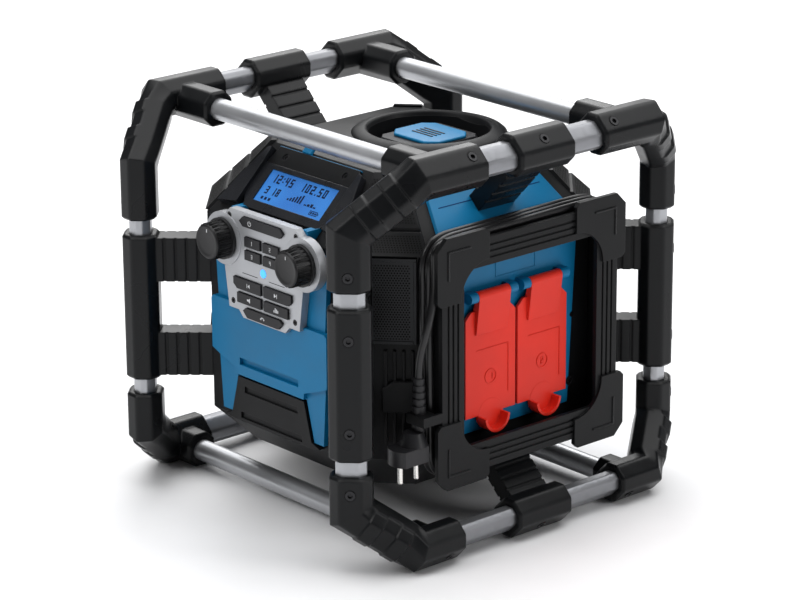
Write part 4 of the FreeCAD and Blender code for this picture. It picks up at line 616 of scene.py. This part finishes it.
def roof_mesh():
    """A fine pattern of holes on the guards over the roof's corner facets, between their grooves."""
    rise = ROOF_Z + GUARD_THICK * 0.4 - EAVE_Z
    slant = math.hypot(ROOF_INSET, rise)
    grooves = (17.4, 36.0)
    for side, end in CORNERS:
        upright = corner_plane(side, end)
        start = upright.origin + upright.out * GUARD_THICK + Vector((0, 0, EAVE_Z))
        plane = Plane(start, upright.across, Vector((0, 0, rise)) - upright.out * ROOF_INSET)
        dots = []
        for row in range(2, int((slant - 4) / ROW_PITCH)):
            up = row * ROW_PITCH
            height = up / slant * rise
            if any(groove - 2 < height < groove + 5 for groove in grooves):
                continue
            low, high = facet_reach(side, end, up / slant * ROOF_INSET - GUARD_THICK)
            for k in range(int((high - low - 8) / HOLE_PITCH)):
                dots.append(disc(low + 5 + k * HOLE_PITCH + (row % 2) * HOLE_PITCH / 2, up, 0.8, 6))
        flat_dots("roof_mesh_%d_%d" % (side, end), plane, dots, 0.12)


def facet_reach(side, end, inset):
    """How far a corner face reaches either way along itself, at an inset."""
    plane = corner_plane(side, end)
    normal = Vector((abs(plane.out.x), abs(plane.out.y)))
    distance = plane.origin.length - inset
    half_x, half_y = HALF_X - inset, HALF_Y - inset
    front_x = (distance - normal.y * half_y) / normal.x
    side_y = (distance - normal.x * half_x) / normal.y
    ends = ((front_x, half_y), (half_x, side_y))
    return sorted(Vector((side * x, end * y, 0)).dot(plane.across) for x, y in ends)


# Flat dark discs in the hole colour: painted shade standing in for the holes
def flat_dots(name, plane, outlines, height):
    points, faces = [], []
    for outline in outlines:
        base = len(points)
        points += [plane.at(x, y, height) for x, y in outline]
        faces.append(list(range(base, base + len(outline))))
    piece(name, points, faces, HOLE_SHADE)


def corner_ribs():
    """Upright ribs and a stepped guard on the lower half of each corner face."""
    for side, end in CORNERS:
        plane, tag = corner_plane(side, end), corner_tag(side, end)
        way = 1 if arm_place(side, end) > 0 else -1
        ribs = [ordered(-way * (30 - 8 * i), 100, -way * (27 - 8 * i), 188) for i in range(4)]
        slabs("corner_ribs_" + tag, plane, ribs, -0.1, 3.2, BODY, bevel=0.8)
        step = [(-way * 34, 130), (-way * 1, 130), (-way * 1, 152), (-way * 12, 160), (-way * 34, 160)]
        slabs("corner_step_" + tag, plane, [step[::way]], -0.1, 5.0, BODY, bevel=1.0)


# The roof

def roof_pieces():
    """The well's collar, the battery's cap and grips, and the strip above the display."""
    ring = Plane((0, WELL_Y, ROOF_Z), (1, 0, 0), (0, 1, 0))
    rim = [(57.1, -16.0), (57.3, 2.6), (58.8, 4.4), (61.0, 4.6), (70.0, 2.2), (73.0, -0.3), (73.4, -18.0)]
    turned("well_collar", ring, rim, BODY, count=96)
    top = Plane((0, WELL_Y - 18, 330.2), (1, 0, 0), (0, 1, 0))
    cap = [(-31, 3), (-31, 36), (-21, 46), (21, 46), (31, 36), (31, 3), (21, -7), (-21, -7)]
    slabs("battery_cap", top, [cap], -0.3, 3.0, BLUE, body="battery_pack", bevel=1.4)
    grips = [bar(-14, 9 + 5 * i, 14, 11 + 5 * i) for i in range(4)]
    slabs("battery_grips", top, grips, 2.9, 3.6, BATTERY, body="battery_pack", bevel=0.3)
    screws = (-42, 42)
    slabs("strip_screws", SLOPE, [disc(x, 71, 3.3) for x in screws], 0.6, 1.7, SCREW, bevel=0.3)
    slabs("strip_sockets", SLOPE, [star(x, 71, 1.6) for x in screws], 1.68, 1.76, HOLE_SHADE)
    slabs("strip_edge", SLOPE, [bar(-57, 79.6, 57, 80.6)], 0.0, 2.2, BLUE, bevel=0.3)
    slabs("roof_catch", SLOPE, [bar(-26, 80.5, -14, 87)], 0.0, 3.4, BLUE, bevel=0.8)


# The stage

def floor_and_light():
    floor("floor", 9.0)
    lamp("key", (-0.6, -2.6, 2.2), 1.3, 34)
    lamp("side", (2.9, 1.2, 1.5), 1.2, 24)
    lamp("top", (-0.6, 0.9, 4.2), 7.0, 430)
    lamp("back", (-2.2, 1.8, 1.6), 1.2, 16)
    world = bpy.data.worlds.new("studio")
    bpy.context.scene.world = world
    world.use_nodes = True
    sky = world.node_tree.nodes["Background"]
    sky.inputs["Color"].default_value = (1.0, 1.0, 1.0, 1.0)
    sky.inputs["Strength"].default_value = 0.11


def floor(name, half):
    mesh = bpy.data.meshes.new(name)
    corners = [(-half, -half, 0), (half, -half, 0), (half, half, 0), (-half, half, 0)]
    mesh.from_pydata(corners, [], [(0, 1, 2, 3)])
    pale = material("floor_pale", (0.86, 0.86, 0.87), 0.7, grain=60, relief=0.02, vary=0.01, round_mm=0.1)
    mesh.materials.append(pale)
    obj = bpy.data.objects.new(name, mesh)
    bpy.context.collection.objects.link(obj)
    return obj


def lamp(name, place, size, power):
    """A square soft light in metres, aimed at the middle of the radio."""
    light = bpy.data.lights.new(name, "AREA")
    light.size = size
    light.energy = power
    obj = bpy.data.objects.new(name, light)
    obj.location = place
    obj.rotation_euler = (Vector((0, 0, 0.18)) - Vector(place)).to_track_quat("-Z", "Y").to_euler()
    bpy.context.collection.objects.link(obj)


def camera():
    """The photograph's point of view."""
    lens = bpy.data.cameras.new("view")
    lens.lens = 152.1
    lens.sensor_width = 36.0
    lens.clip_end = 50.0
    obj = bpy.data.objects.new("view", lens)
    right = Vector((0.662037, 0.749446, -0.006130))
    up = Vector((-0.231849, 0.212573, 0.949241))
    back = Vector((0.712708, -0.627012, 0.314490))
    turn = Matrix((right, up, back)).transposed().to_4x4()
    obj.matrix_world = Matrix.Translation(Vector((2.25967, -1.98810, 1.17411))) @ turn
    bpy.context.collection.objects.link(obj)
    bpy.context.scene.camera = obj


camera()
cord()
finish_nodes()
display()
plate_marks()
button_signs()
knob_faces()
cover_marks()
side_details()
pad_marks()
grilles()
roof_mesh()
corner_ribs()
roof_pieces()
floor_and_light()
bpy.context.scene.view_settings.view_transform = "Standard"
